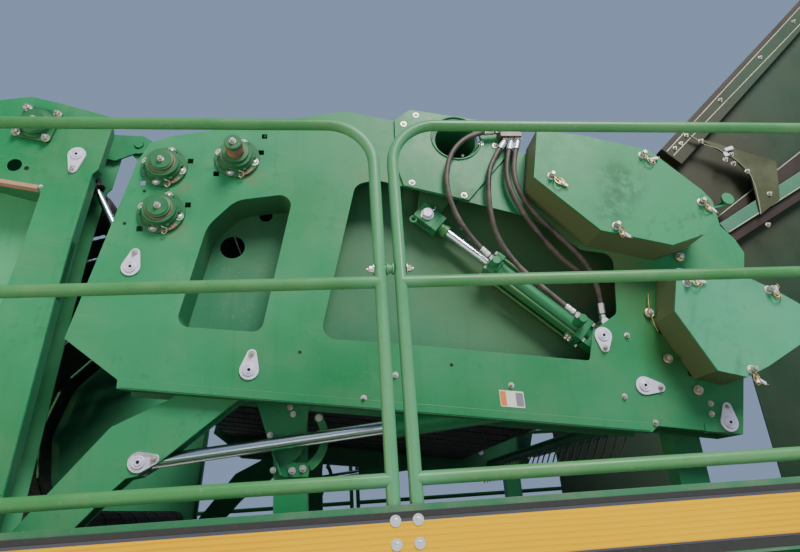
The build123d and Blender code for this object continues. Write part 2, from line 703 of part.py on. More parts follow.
with BuildPart() as tension_barrels:
    add(tension_barrel_right.part)
    add(tension_barrel_right.part.mirror(Plane.XZ))
save(tension_barrels, "tension_barrels")

# Pins of the front frame with their keyhole plates, and the lever pins
with BuildPart() as pins_right:
    for big, small in PLATES:
        with BuildSketch(side(SKIN_Y)):
            add(strap(big, KEY_BIG, small, KEY_SMALL))
        extrude(amount=KEY_T)
        with BuildSketch(side(SKIN_Y)):
            with Locations(big):
                Circle(PIN_R)
        extrude(amount=-(SKIN_Y - WALL_Y + WALL_T))
    with BuildSketch(side(RAM_Y)):
        with Locations(GATE_LINK_PIN):
            Circle(PIN_R + RUN)
    extrude(amount=GATE_EYE_T / 2 + TOUCH, both=True, mode=Mode.SUBTRACT)
    with BuildSketch(side(RAM_Y)):
        with Locations(LEVER_PIN):
            Circle(PIN_R)
    extrude(amount=CLEVIS_WIDE / 2 + 10, both=True)
with BuildPart() as pins:
    add(pins_right.part)
    add(pins_right.part.mirror(Plane.XZ))
save(pins, "pins")

# Hose manifold on the right pivot plate, with a stub for each hose
with BuildPart() as manifold:
    with BuildSketch(side(SKIN_Y + PLATE_T)):
        with Locations((375, 1872)):
            Rectangle(90, 44)
    extrude(amount=50)
    for name, points in HOSES:
        with BuildSketch(stub_plane(points[1], points[0])):
            Circle(FITTING_R)
        extrude(amount=FITTING_LONG)
save(manifold, "manifold")

# Bulkhead ports on the right wall for the two hoses that run forward
with BuildPart() as wall_ports:
    for points, port in ((HOSE_FRONT, FRONT_PORT), (HOSE_DOWN, DOWN_PORT)):
        with BuildSketch(side(WALL_Y)):
            with Locations((port[0], port[2])):
                Circle(PORT_R)
        extrude(amount=-port[1] + PORT_R - WALL_Y)
        with BuildSketch(stub_plane(points[-2], points[-1])):
            Circle(FITTING_R)
        extrude(amount=FITTING_LONG)
save(wall_ports, "wall_ports")

for name, points in HOSES:
    radii = []
    for before, here, after in zip(points, points[1:], points[2:]):
        a = Vector(*here) - Vector(*before)
        b = Vector(*after) - Vector(*here)
        turn = radians(a.get_angle(b))
        radii.append(0.45 * min(a.length, b.length) / tan(turn / 2))
    with BuildPart() as hose:
        with BuildLine() as run:
            FilletPolyline(*points, radius=radii)
        with BuildSketch(Plane(origin=points[0], z_dir=run.line % 0)):
            Circle(HOSE_R)
        sweep()
    save(hose, name)
    length = sum(edge.length for edge in run.edges())
    ideal = pi * HOSE_R ** 2 * length
    print(f"{name}: length {length:.0f}, smallest radius {min(radii):.0f}, "
          f"volume over section by length {hose.part.volume / ideal:.4f}")

# Chain drives and covers
def drive(shaft, teeth, driver_teeth, links, way):
    """Place a chain on two sprockets.

    Gives each sprocket as centre, teeth, pitch radius and the angle of one seat, and the chain's
    roller centres in order.
    """
    large = teeth * CHAIN_PITCH / (2 * pi)
    small = driver_teeth * CHAIN_PITCH / (2 * pi)
    straight = (links * CHAIN_PITCH - pi * (large + small)) / 2
    apart = straight - (large - small) ** 2 / (2 * straight)
    heading = atan2(way[1], way[0])
    lean = asin((large - small) / apart)
    other = (shaft[0] + apart * cos(heading), shaft[1] + apart * sin(heading))
    run = sqrt(apart ** 2 - (large - small) ** 2)
    wrap = large * (pi + 2 * lean)
    seats = (heading + pi / 2 - lean, heading - pi / 2 + lean)
    rollers = []
    for k in range(links):
        s = k * CHAIN_PITCH
        if s < wrap:
            a = seats[0] + s / large
            rollers.append((shaft[0] + large * cos(a), shaft[1] + large * sin(a)))
        elif s < wrap + run:
            a = seats[1]
            rollers.append((shaft[0] + large * cos(a) - (s - wrap) * sin(a),
                            shaft[1] + large * sin(a) + (s - wrap) * cos(a)))
        elif s < wrap + run + small * (pi - 2 * lean):
            a = seats[1] + (s - wrap - run) / small
            rollers.append((other[0] + small * cos(a), other[1] + small * sin(a)))
        else:
            a = seats[0]
            left = links * CHAIN_PITCH - s
            rollers.append((shaft[0] + large * cos(a) + left * sin(a),
                            shaft[1] + large * sin(a) - left * cos(a)))
    first = ceil((wrap + run) / CHAIN_PITCH) * CHAIN_PITCH
    phase = seats[1] + (first - wrap - run) / small
    return ((shaft, teeth, large, seats[0]), (other, driver_teeth, small, phase)), rollers


def link_plate(first, second):
    """Waisted outline of one link between two rollers."""
    length = hypot(second[0] - first[0], second[1] - first[1])
    ux, uz = (second[0] - first[0]) / length, (second[1] - first[1]) / length
    corners = []
    for s, t in ((-LINK_HALF, 0), (-LINK_HALF * 0.7, LINK_HALF * 0.75), (0, LINK_HALF),
                 (length / 2, LINK_NARROW), (length, LINK_HALF), (length + LINK_HALF * 0.7, LINK_HALF * 0.75),
                 (length + LINK_HALF, 0)):
        corners.append((s, t))
    corners += [(s, -t) for s, t in reversed(corners[1:-1])]
    return [(first[0] + ux * s - uz * t, first[1] + uz * s + ux * t) for s, t in corners]


SPROCKETS, CHAINS = [], []
for plan in (DRIVE_UPPER, DRIVE_LOWER):
    wheels, rollers = drive(*plan)
    SPROCKETS += wheels
    CHAINS.append(rollers)

SEAT_R = CHAIN_ROLLER_R + SEAT_GAP
with BuildPart() as sprockets:
    for centre, teeth, radius, seat in SPROCKETS:
        with BuildSketch(side(SPROCKET_Y)):
            with Locations(centre):
                Circle(radius + TOOTH_HIGH)
                with PolarLocations(radius, teeth, start_angle=degrees(seat)):
                    Circle(SEAT_R, mode=Mode.SUBTRACT)
                    Polygon((0, SEAT_R), (0, -SEAT_R), (TOOTH_CUT, -SEAT_R - TOOTH_FLARE),
                            (TOOTH_CUT, SEAT_R + TOOTH_FLARE), align=None, mode=Mode.SUBTRACT)
        extrude(amount=SPROCKET_T / 2, both=True)
        with BuildSketch(side(SKIN_Y)):
            with Locations(centre):
                Circle(min(HUB_R, radius - CHAIN_ROLLER_R - HUB_STEP))
        extrude(amount=SPROCKET_Y - SKIN_Y + HUB_LONG)
save(sprockets, "sprockets")

with BuildPart() as chains:
    for rollers in CHAINS:
        with BuildSketch(side(SPROCKET_Y)):
            with Locations(*rollers):
                Circle(CHAIN_ROLLER_R)
        extrude(amount=LINK_INNER + LINK_T / 2, both=True)
        with BuildSketch(side(SPROCKET_Y)):
            with Locations(*rollers):
                Circle(CHAIN_PIN_R)
        extrude(amount=CHAIN_PIN_HALF, both=True)
        pairs = list(zip(rollers, rollers[1:] + rollers[:1]))
        for start, links in ((LINK_INNER, pairs[::2]), (LINK_OUTER, pairs[1::2])):
            for face in (SPROCKET_Y + start, SPROCKET_Y - start - LINK_T):
                with BuildSketch(side(face)):
                    for first, second in links:
                        Polygon(*link_plate(first, second), align=None)
                extrude(amount=LINK_T)
save(chains, "chains")

for name, outline, studs in (("cover_upper", COVER_UPPER, STUDS_UPPER),
                             ("cover_lower", COVER_LOWER, STUDS_LOWER)):
    with BuildPart() as cover:
        with BuildSketch(side(COVER_BACK)):
            Polygon(*outline, align=None)
        extrude(amount=COVER_FACE - COVER_BACK)
        with BuildSketch(side(COVER_BACK)):
            Polygon(*outline, align=None)
            offset(amount=-COVER_T, mode=Mode.REPLACE)
        extrude(amount=COVER_FACE - COVER_T - COVER_BACK, mode=Mode.SUBTRACT)
        with BuildSketch(side(COVER_BACK)):
            with Locations(*studs):
                Circle(STUD_HOLE)
        extrude(amount=COVER_FACE, mode=Mode.SUBTRACT)
    save(cover, name)

with BuildPart() as cover_studs:
    with BuildSketch(side(SKIN_Y)):
        with Locations(*STUDS_UPPER, *STUDS_LOWER):
            Circle(STUD_R)
    extrude(amount=STUD_END - SKIN_Y)
    with BuildSketch(side(SKIN_Y)):
        with Locations(STUD_TAB):
            Rectangle(46, 110)
    extrude(amount=6)
save(cover_studs, "cover_studs")

# Feed hood
with BuildPart() as hood_side_right:
    with BuildSketch(side(HOOD_Y)):
        Polygon(*HOOD_OUTLINE, align=None)
    extrude(amount=-HOOD_T)
    with BuildSketch(side(HOOD_Y)):
        Polygon(*HOOD_RIM, align=None)
    extrude(amount=HOOD_RIM_T)
with BuildPart() as hood_sides:
    add(hood_side_right.part)
    add(hood_side_right.part.mirror(Plane.XZ))
save(hood_sides, "hood_sides")

with BuildPart() as hood_beam_right:
    with BuildSketch(side(HOOD_Y)):
        Polygon(*HOOD_BEAM, align=None)
    extrude(amount=HOOD_BEAM_T)
with BuildPart() as hood_beams:
    add(hood_beam_right.part)
    add(hood_beam_right.part.mirror(Plane.XZ))
save(hood_beams, "hood_beams")

with BuildPart() as hood_bracket_right:
    with BuildSketch(side(HOOD_Y + HOOD_BEAM_T)):
        Polygon(*HOOD_BRACKET, align=None)
    extrude(amount=8)
with BuildPart() as hood_brackets:
    add(hood_bracket_right.part)
    add(hood_bracket_right.part.mirror(Plane.XZ))
save(hood_brackets, "hood_brackets")

with BuildPart() as hood_roof:
    with BuildSketch(Plane.XZ):
        Polygon(*HOOD_ROOF, *[(x, z - HOOD_ROOF_T) for x, z in reversed(HOOD_ROOF)], align=None)
    extrude(amount=HOOD_Y - HOOD_T, both=True)
save(hood_roof, "hood_roof")

# Gate hinge: ears and pins on the front frame
with BuildPart() as ear_right:
    with BuildSketch(side(WALL_Y)):
        Polygon(*FRAME_EAR, align=None)
        with Locations(HINGE):
            Circle(EAR_R)
    extrude(amount=EAR_T)
    with BuildSketch(side(WALL_Y - WALL_T)):
        with Locations(HINGE):
            Circle(HINGE_PIN_R)
    extrude(amount=WALL_T + 2 * EAR_T + EAR_GAP + 6)
with BuildPart() as hinge_ears:
    add(ear_right.part)
    add(ear_right.part.mirror(Plane.XZ))
save(hinge_ears, "hinge_ears")

with BuildPart() as gate_ear_right:
    with BuildSketch(side(WALL_Y + EAR_T + EAR_GAP)):
        Polygon(*GATE_EAR, align=None)
        with Locations(HINGE):
            Circle(EAR_R)
            Circle(HINGE_PIN_R + RUN, mode=Mode.SUBTRACT)
    extrude(amount=EAR_T)
    with BuildSketch(side(WALL_Y)):
        Polygon(*GATE_EAR_PAD, align=None)
    extrude(amount=EAR_T + EAR_GAP)
with BuildPart() as gate_ears:
    add(gate_ear_right.part)
    add(gate_ear_right.part.mirror(Plane.XZ))
save(gate_ears, "gate_ears")

# Gate skins, walls and edges
with BuildPart() as gate_skin_right:
    with BuildSketch(side(SKIN_Y)):
        Polygon(*GATE_OUTLINE, align=None)
        add(rounded(GATE_WINDOW, GATE_WINDOW_R), mode=Mode.SUBTRACT)
        for x, z, radius in GATE_HOLES:
            with Locations((x, z)):
                Circle(radius, mode=Mode.SUBTRACT)
        with Locations(GATE_PIN):
            Circle(TRUNNION_R + RUN, mode=Mode.SUBTRACT)
    extrude(amount=-SKIN_T)
with BuildPart() as gate_skins:
    add(gate_skin_right.part)
    add(gate_skin_right.part.mirror(Plane.XZ))
save(gate_skins, "gate_skins")

with BuildPart() as gate_wall_right:
    with BuildSketch(side(WALL_Y)):
        Polygon(*GATE_OUTLINE, align=None)
        with Locations(*GATE_ROLLS):
            Circle(SHAFT_R + RUN, mode=Mode.SUBTRACT)
        with Locations(GATE_PIN):
            Circle(TRUNNION_R + RUN, mode=Mode.SUBTRACT)
    extrude(amount=-WALL_T)
with BuildPart() as gate_walls:
    add(gate_wall_right.part)
    add(gate_wall_right.part.mirror(Plane.XZ))
save(gate_walls, "gate_walls")

with BuildPart() as gate_rim_right:
    with BuildSketch(side(SKIN_Y - SKIN_T)):
        Polygon(*GATE_OUTLINE, align=None)
        offset(amount=-SHEET, mode=Mode.SUBTRACT)
    extrude(amount=-LIP)
    with BuildSketch(side(SKIN_Y - SKIN_T)):
        Polygon(*GATE_OUTLINE, align=None)
        offset(amount=-SHEET, mode=Mode.SUBTRACT)
        with Locations((GATE_EDGE_FRONT, 0)):
            Rectangle(600, 6000, align=(Align.MAX, Align.CENTER), mode=Mode.SUBTRACT)
        with Locations((0, GATE_EDGE_LOW)):
            Rectangle(6000, 1000, align=(Align.CENTER, Align.MAX), mode=Mode.SUBTRACT)
    extrude(amount=-DEPTH)
    with BuildSketch(side(SKIN_Y - SKIN_T)):
        add(rounded(GATE_WINDOW, GATE_WINDOW_R))
        offset(amount=SHEET)
        add(rounded(GATE_WINDOW, GATE_WINDOW_R), mode=Mode.SUBTRACT)
    extrude(amount=-DEPTH)
with BuildPart() as gate_rims:
    add(gate_rim_right.part)
    add(gate_rim_right.part.mirror(Plane.XZ))
save(gate_rims, "gate_rims")

with BuildPart() as gate_tubes:
    for centre in GATE_TUBES:
        with BuildSketch(Plane.XZ):
            with Locations(centre):
                Circle(GATE_TUBE_R)
        extrude(amount=WALL_Y - WALL_T, both=True)
save(gate_tubes, "gate_tubes")

with BuildPart() as gate_rollers:
    for centre in GATE_ROLLS:
        with BuildSketch(Plane.XZ):
            with Locations(centre):
                Circle(GATE_LOOP_R - BELT_T - TOUCH)
        extrude(amount=ROLL_FACE, both=True)
        with BuildSketch(Plane.XZ):
            with Locations(centre):
                Circle(SHAFT_R)
        extrude(amount=WALL_Y + 20, both=True)
save(gate_rollers, "gate_rollers")

with BuildPart() as gate_belts:
    with BuildSketch(Plane.XZ):
        for first, second in zip(GATE_ROLLS, GATE_ROLLS[1:]):
            add(strap(first, GATE_LOOP_R, second, GATE_LOOP_R))
        for first, second in zip(GATE_ROLLS, GATE_ROLLS[1:]):
            add(strap(first, GATE_LOOP_R - BELT_T, second, GATE_LOOP_R - BELT_T), mode=Mode.SUBTRACT)
    extrude(amount=BELT_FACE, both=True)
save(gate_belts, "gate_belts")

with BuildPart() as gate_bearing_right:
    with BuildSketch(side(SKIN_Y)):
        with Locations(GATE_BEARING):
            Rectangle(150, 150, rotation=12)
    extrude(amount=BEARING_FLANGE_T)
    with BuildSketch(side(SKIN_Y)):
        with Locations(GATE_BEARING):
            Circle(BEARING_BODY_R)
    extrude(amount=BEARING_FLANGE_T + BEARING_BODY_T)
with BuildPart() as gate_bearings:
    add(gate_bearing_right.part)
    add(gate_bearing_right.part.mirror(Plane.XZ))
save(gate_bearings, "gate_bearings")

# Keyhole plates over the trunnions
with BuildPart() as gate_plate_right:
    with BuildSketch(side(SKIN_Y)):
        add(strap(GATE_PIN, KEY_BIG, GATE_PIN_SMALL, KEY_SMALL))
    extrude(amount=KEY_T)
with BuildPart() as gate_plates:
    add(gate_plate_right.part)
    add(gate_plate_right.part.mirror(Plane.XZ))
save(gate_plates, "gate_plates")

# Lift cylinders of the gate
with BuildPart() as gate_barrel_right:
    with BuildSketch(along(GATE_LINK_PIN, GATE_PIN, GATE_BARREL_START)):
        Circle(GATE_BARREL_R)
    extrude(amount=GATE_BARREL_END - GATE_BARREL_START)
    with BuildSketch(along(GATE_LINK_PIN, GATE_PIN, GATE_BARREL_START)):
        Circle(GATE_BORE)
    extrude(amount=GATE_BARREL_END - GATE_BARREL_START - 15, mode=Mode.SUBTRACT)
    for start, reach in ((RAM_Y + 24, SKIN_Y - TOUCH - RAM_Y - 24),
                         (RAM_Y - 24, WALL_Y - WALL_T - RAM_Y + 24)):
        with BuildSketch(side(start)):
            with Locations(GATE_PIN):
                Circle(TRUNNION_R)
        extrude(amount=reach)
with BuildPart() as gate_barrels:
    add(gate_barrel_right.part)
    add(gate_barrel_right.part.mirror(Plane.XZ))
save(gate_barrels, "gate_barrels")

GATE_LINK_LONG = hypot(GATE_PIN[0] - GATE_LINK_PIN[0], GATE_PIN[1] - GATE_LINK_PIN[1])
with BuildPart() as gate_rod_right:
    with BuildSketch(side(RAM_Y)):
        with Locations(GATE_LINK_PIN):
            Circle(GATE_EYE_R)
    extrude(amount=GATE_EYE_T / 2, both=True)
    with BuildSketch(along(GATE_LINK_PIN, GATE_PIN, 20)):
        Circle(GATE_ROD_R)
    extrude(amount=GATE_BARREL_END - 45)
with BuildPart() as gate_rods:
    add(gate_rod_right.part)
    add(gate_rod_right.part.mirror(Plane.XZ))
save(gate_rods, "gate_rods")

# Cradle arms with their pins
with BuildPart() as arm_right:
    for start in (CRADLE_OUT, CRADLE_IN + CRADLE_PLATE):
        with BuildSketch(side(start)):
            Polygon(*ARM_OUTLINE, align=None)
            with Locations(CRADLE_PIN):
                Circle(ARM_EYE_R)
            with Locations(CRADLE_PIN):
                Circle(PIN_R + RUN, mode=Mode.SUBTRACT)
            with Locations(ROD_PIN):
                Circle(PIN_HOLE, mode=Mode.SUBTRACT)
        extrude(amount=-CRADLE_PLATE)
    with BuildSketch(side(CRADLE_OUT)):
        Polygon(*ARM_UPPER_EDGE, align=None)
        Polygon(*ARM_LOWER_EDGE, align=None)
    extrude(amount=-(CRADLE_OUT - CRADLE_IN))
with BuildPart() as cradle_arms:
    add(arm_right.part)
    add(arm_right.part.mirror(Plane.XZ))
save(cradle_arms, "cradle_arms")

with BuildPart() as cradle_pin_right:
    with BuildSketch(side(CRADLE_OUT)):
        add(strap(ROD_PIN, KEY_BIG, ROD_PIN_SMALL, KEY_SMALL))
    extrude(amount=KEY_T)
    with BuildSketch(side(CRADLE_OUT)):
        with Locations(ROD_PIN):
            Circle(PIN_R)
    extrude(amount=-(CRADLE_OUT - CRADLE_IN))
    with BuildSketch(side(RAM_Y)):
        with Locations(ROD_PIN):
            Circle(PIN_R + RUN)
    extrude(amount=RAM_EYE_T / 2 + TOUCH, both=True, mode=Mode.SUBTRACT)
with BuildPart() as cradle_pins:
    add(cradle_pin_right.part)
    add(cradle_pin_right.part.mirror(Plane.XZ))
save(cradle_pins, "cradle_pins")

with BuildPart() as cradle_bed:
    for centres, radius in ((CRADLE_BARS, CRADLE_BAR_R), (CRADLE_ROLLS, 20)):
        for centre in centres:
            with BuildSketch(Plane.XZ):
                with Locations(centre):
                    Circle(radius)
            extrude(amount=CRADLE_IN, both=True)
    for centre in CRADLE_ROLLS:
        with BuildSketch(Plane.XZ):
            with Locations(centre):
                Circle(CRADLE_ROLL_R)
        extrude(amount=CRADLE_IN - 30, both=True)
save(cradle_bed, "cradle_bed")

# Cradle cylinders
RAM_LONG = hypot(CRADLE_BASE_PIN[0] - ROD_PIN[0], CRADLE_BASE_PIN[1] - ROD_PIN[1])
with BuildPart() as ram_barrel_right:
    with BuildSketch(along(ROD_PIN, CRADLE_BASE_PIN, RAM_EXPOSED)):
        Circle(RAM_BARREL_R)
    extrude(amount=RAM_LONG - RAM_EXPOSED - 30)
    with BuildSketch(along(ROD_PIN, CRADLE_BASE_PIN, RAM_EXPOSED)):
        Circle(RAM_BORE)
    extrude(amount=RAM_LONG - RAM_EXPOSED - 80, mode=Mode.SUBTRACT)
    with BuildSketch(side(RAM_Y)):
        with Locations(CRADLE_BASE_PIN):
            Circle(EYE_R)
    extrude(amount=30, both=True)
    with BuildSketch(side(RAM_Y)):
        with Locations(CRADLE_BASE_PIN):
            Circle(PIN_R + RUN)
    extrude(amount=60, both=True, mode=Mode.SUBTRACT)
with BuildPart() as ram_barrels:
    add(ram_barrel_right.part)
    add(ram_barrel_right.part.mirror(Plane.XZ))
save(ram_barrels, "ram_barrels")

with BuildPart() as ram_rod_right:
    with BuildSketch(side(RAM_Y)):
        with Locations(ROD_PIN):
            Circle(EYE_R)
    extrude(amount=RAM_EYE_T / 2, both=True)
    with BuildSketch(along(ROD_PIN, CRADLE_BASE_PIN, 20)):
        Circle(RAM_ROD_R)
    extrude(amount=RAM_EXPOSED + RAM_INSIDE)
with BuildPart() as ram_rods:
    add(ram_rod_right.part)
    add(ram_rod_right.part.mirror(Plane.XZ))
save(ram_rods, "ram_rods")

# Guide plate under each wall, with a curved arm bolted to its foot
with BuildPart() as guide_right:
    with BuildSketch(side(WALL_Y)):
        Polygon(*GUIDE_PLATE, align=None)
    extrude(amount=GUIDE_T)
    with BuildSketch(side(WALL_Y)):
        Polygon(*GUIDE_LIP, align=None)
    extrude(amount=GUIDE_T + GUIDE_LIP_HIGH)
    with BuildSketch(side(WALL_Y + GUIDE_T)):
        Polygon(*GUIDE_FOOT, align=None)
        with BuildLine():
            ThreePointArc((-442, 746), (-423, 655), (-485, 560))
            Line((-485, 560), (-501, 590))
            ThreePointArc((-501, 590), (-453, 655), (-470, 738))
            Line((-470, 738), (-442, 746))
        make_face()
        with Locations(GUIDE_EYE):
            Circle(17)
            Circle(6, mode=Mode.SUBTRACT)
    extrude(amount=GUIDE_ARM_T)
with BuildPart() as guides:
    add(guide_right.part)
    add(guide_right.part.mirror(Plane.XZ))
save(guides, "guides")
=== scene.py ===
import logging
import math
from dataclasses import dataclass
from enum import Enum
from functools import cache

import bmesh
import bpy
from mathutils import Matrix, Vector


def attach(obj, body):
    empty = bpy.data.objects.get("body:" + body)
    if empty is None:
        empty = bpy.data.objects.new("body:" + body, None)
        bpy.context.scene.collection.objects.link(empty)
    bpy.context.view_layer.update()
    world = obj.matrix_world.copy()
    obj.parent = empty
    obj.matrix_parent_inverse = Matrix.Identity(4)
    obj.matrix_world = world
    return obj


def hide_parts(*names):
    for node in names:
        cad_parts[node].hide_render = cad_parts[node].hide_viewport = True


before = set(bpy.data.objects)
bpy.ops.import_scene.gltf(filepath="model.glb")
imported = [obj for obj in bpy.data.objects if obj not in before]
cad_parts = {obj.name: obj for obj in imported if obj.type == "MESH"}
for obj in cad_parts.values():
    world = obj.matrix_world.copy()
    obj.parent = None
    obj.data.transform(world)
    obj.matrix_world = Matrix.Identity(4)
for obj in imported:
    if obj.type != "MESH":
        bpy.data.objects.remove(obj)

LOG = logging.getLogger("bale_builder")
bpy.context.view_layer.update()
MM = 0.001
FULL_TURN = 6.2832
# Faces, as distances to the right of the middle.
SKIN = 1400
WALL = 1250
CRADLE_FACE = 1355
BRACKET_FACE = 1268
GUIDE_FACE = 1258
FASCIA = 2012.3
STRIP_FACE = 2013.8
# Where the guard rails' posts stand, and the top of the decks.
POSTS = (-1640, -266, -210, 1660)
DECK_TOP = 384
Point = tuple[float, float]
Spot = tuple[float, float, float]


class Way(Enum):
    """Direction that a screw or a turned piece faces."""

    RIGHT = (0.0, -1.0, 0.0)
    UP = (0.0, 0.0, 1.0)
    FRONT = (1.0, 0.0, 0.0)
    REAR = (-1.0, 0.0, 0.0)


class Head(Enum):
    """Kinds of screw head."""

    HEX = "hex"
    DOME = "dome"


# ---------------------------------------------------------------- finishes


class Nodes:
    """Short calls for building a node tree."""

    def __init__(self, tree: bpy.types.NodeTree) -> None:
        """Start on a tree."""
        self.tree = tree

    def give(self, socket: bpy.types.NodeSocket, value: object) -> None:
        """Link an input to a socket, or set it to a value.

        Args:
            socket: The input.
            value: A socket or a value.
        """
        if isinstance(value, bpy.types.NodeSocket):
            self.tree.links.new(value, socket)
        else:
            socket.default_value = value

    def feed(self, node: bpy.types.Node, **values: object) -> None:
        """Give a node's inputs by name, with underscores for blanks."""
        for key, value in values.items():
            self.give(node.inputs[key.replace("_", " ")], value)

    def add(self, kind: str, settings: dict[str, object] | None = None,
            **values: object) -> bpy.types.Node:
        """Add a node, set its properties and give its inputs.

        Args:
            kind: The node's type.
            settings: Its properties.
            values: Its inputs, as feed takes them.

        Returns:
            The node.
        """
        node = self.tree.nodes.new(kind)
        for key, value in (settings or {}).items():
            setattr(node, key, value)
        self.feed(node, **values)
        return node

    def maths(self, kind: str, first: object, second: object) -> bpy.types.NodeSocket:
        """One sum on two values.

        Args:
            kind: The operation.
            first: A socket or a number.
            second: A socket or a number.

        Returns:
            The result.
        """
        node = self.add("ShaderNodeMath", {"operation": kind})
        for socket, value in zip(node.inputs, (first, second)):
            self.give(socket, value)
        return node.outputs[0]

    def product(self, first: object, second: object) -> bpy.types.NodeSocket:
        """Two values multiplied."""
        return self.maths("MULTIPLY", first, second)


class Wiring(Nodes):
    """One material's nodes, on Object coordinates."""

    def __init__(self, name: str) -> None:
        """Start an empty material with its shader.

        Args:
            name: The material's name.
        """
        self.material = bpy.data.materials.new(name)
        self.material.use_nodes = True
        super().__init__(self.material.node_tree)
        self.tree.nodes.clear()
        self.shader = self.add("ShaderNodeBsdfPrincipled")
        self.add("ShaderNodeOutputMaterial", Surface=self.shader.outputs[0])
        self.place = self.add("ShaderNodeTexCoord").outputs["Object"]

    def noise(self, scale: float, detail: float = 4.0, rough: float = 0.55,
              stretch: Spot = (1, 1, 1), shift: Spot = (0, 0, 0),
              turn: Spot = (0, 0, 0)) -> bpy.types.NodeSocket:
        """Noise on Object coordinates.

        Args:
            scale: Lumps per metre.
            detail: Octaves.
            rough: How strong the fine octaves are.
            stretch: Scale along each axis.
            shift: Offset, so that two layers differ.
            turn: Angles that slant the pattern.

        Returns:
            The noise's value.
        """
        mapping = self.add("ShaderNodeMapping", {"vector_type": "TEXTURE"}, Vector=self.place,
                           Location=shift, Scale=tuple(1 / share for share in stretch),
                           Rotation=turn)
        return self.add("ShaderNodeTexNoise", Vector=mapping.outputs[0], Scale=scale,
                        Detail=detail, Roughness=rough).outputs[0]

    def spread(self, value: bpy.types.NodeSocket, low: float, high: float,
               out_low: float = 0.0, out_high: float = 1.0) -> bpy.types.NodeSocket:
        """Value mapped from one range to another, clamped."""
        return self.add("ShaderNodeMapRange", Value=value, From_Min=low, From_Max=high,
                        To_Min=out_low, To_Max=out_high).outputs[0]

    def height(self, axis: int) -> bpy.types.NodeSocket:
        """Coordinate along one axis."""
        return self.add("ShaderNodeSeparateXYZ", Vector=self.place).outputs[axis]

    def blend(self, factor: object, first: object, second: object) -> bpy.types.NodeSocket:
        """Colour mixed from two colours.

        Args:
            factor: Share of the second colour, a number or a socket.
            first: First colour, three numbers or a socket.
            second: Second colour, three numbers or a socket.

        Returns:
            The mixed colour.
        """
        node = self.add("ShaderNodeMix", {"data_type": "RGBA"})
        self.give(node.inputs[0], factor)
        for socket, colour in zip((node.inputs[6], node.inputs[7]), (first, second)):
            self.give(socket, (*colour, 1) if isinstance(colour, tuple) else colour)
        return node.outputs[2]

    def marks(self, below: bpy.types.NodeSocket, colour: Spot, strength: float,
              fine: dict[str, object], ends: Point, broad: dict[str, object],
              reach: Point) -> bpy.types.NodeSocket:
        """Blend small marks into a colour, in patches.

        Args:
            below: The colour under them.
            colour: Their colour.
            strength: How strongly they cover; at 0 there are none.
            fine: The noise that gives their shape, as noise takes it.
            ends: Its values where they start and where they are full.
            broad: The noise that says where the patches lie.
            reach: Its values where a patch starts and where it is full.

        Returns:
            The colour with its marks.
        """
        if not strength:
            return below
        share = self.product(self.spread(self.noise(**fine), *ends),
                             self.spread(self.noise(**broad), *reach))
        return self.blend(self.product(share, strength), below, colour)

    def bump(self, height: bpy.types.NodeSocket, strength: float, distance: float,
             **below: bpy.types.NodeSocket) -> bpy.types.NodeSocket:
        """Bumped normal, on top of the one given as Normal."""
        return self.add("ShaderNodeBump", Height=height, Strength=strength, Distance=distance,
                        **below).outputs[0]

    def finish(self, **values: object) -> bpy.types.Material:
        """Give the shader its inputs, and return the material."""
        self.feed(self.shader, **values)
        return self.material


@dataclass(frozen=True)
class Stain:
    """Round patch of rust or dirt, centred on a point in millimetres."""

    centre: Spot
    radius: float
    colour: Spot = (0.16, 0.05, 0.02)
    strength: float = 0.8
    ragged: bool = True


# Olive for the covers' side faces: partly dust, partly painted shade and warm bounce light.
SIDE_DUST_AND_SHADE = (0.105, 0.125, 0.060)
PRIMER = (0.10, 0.045, 0.025)
DARKER = 0.55


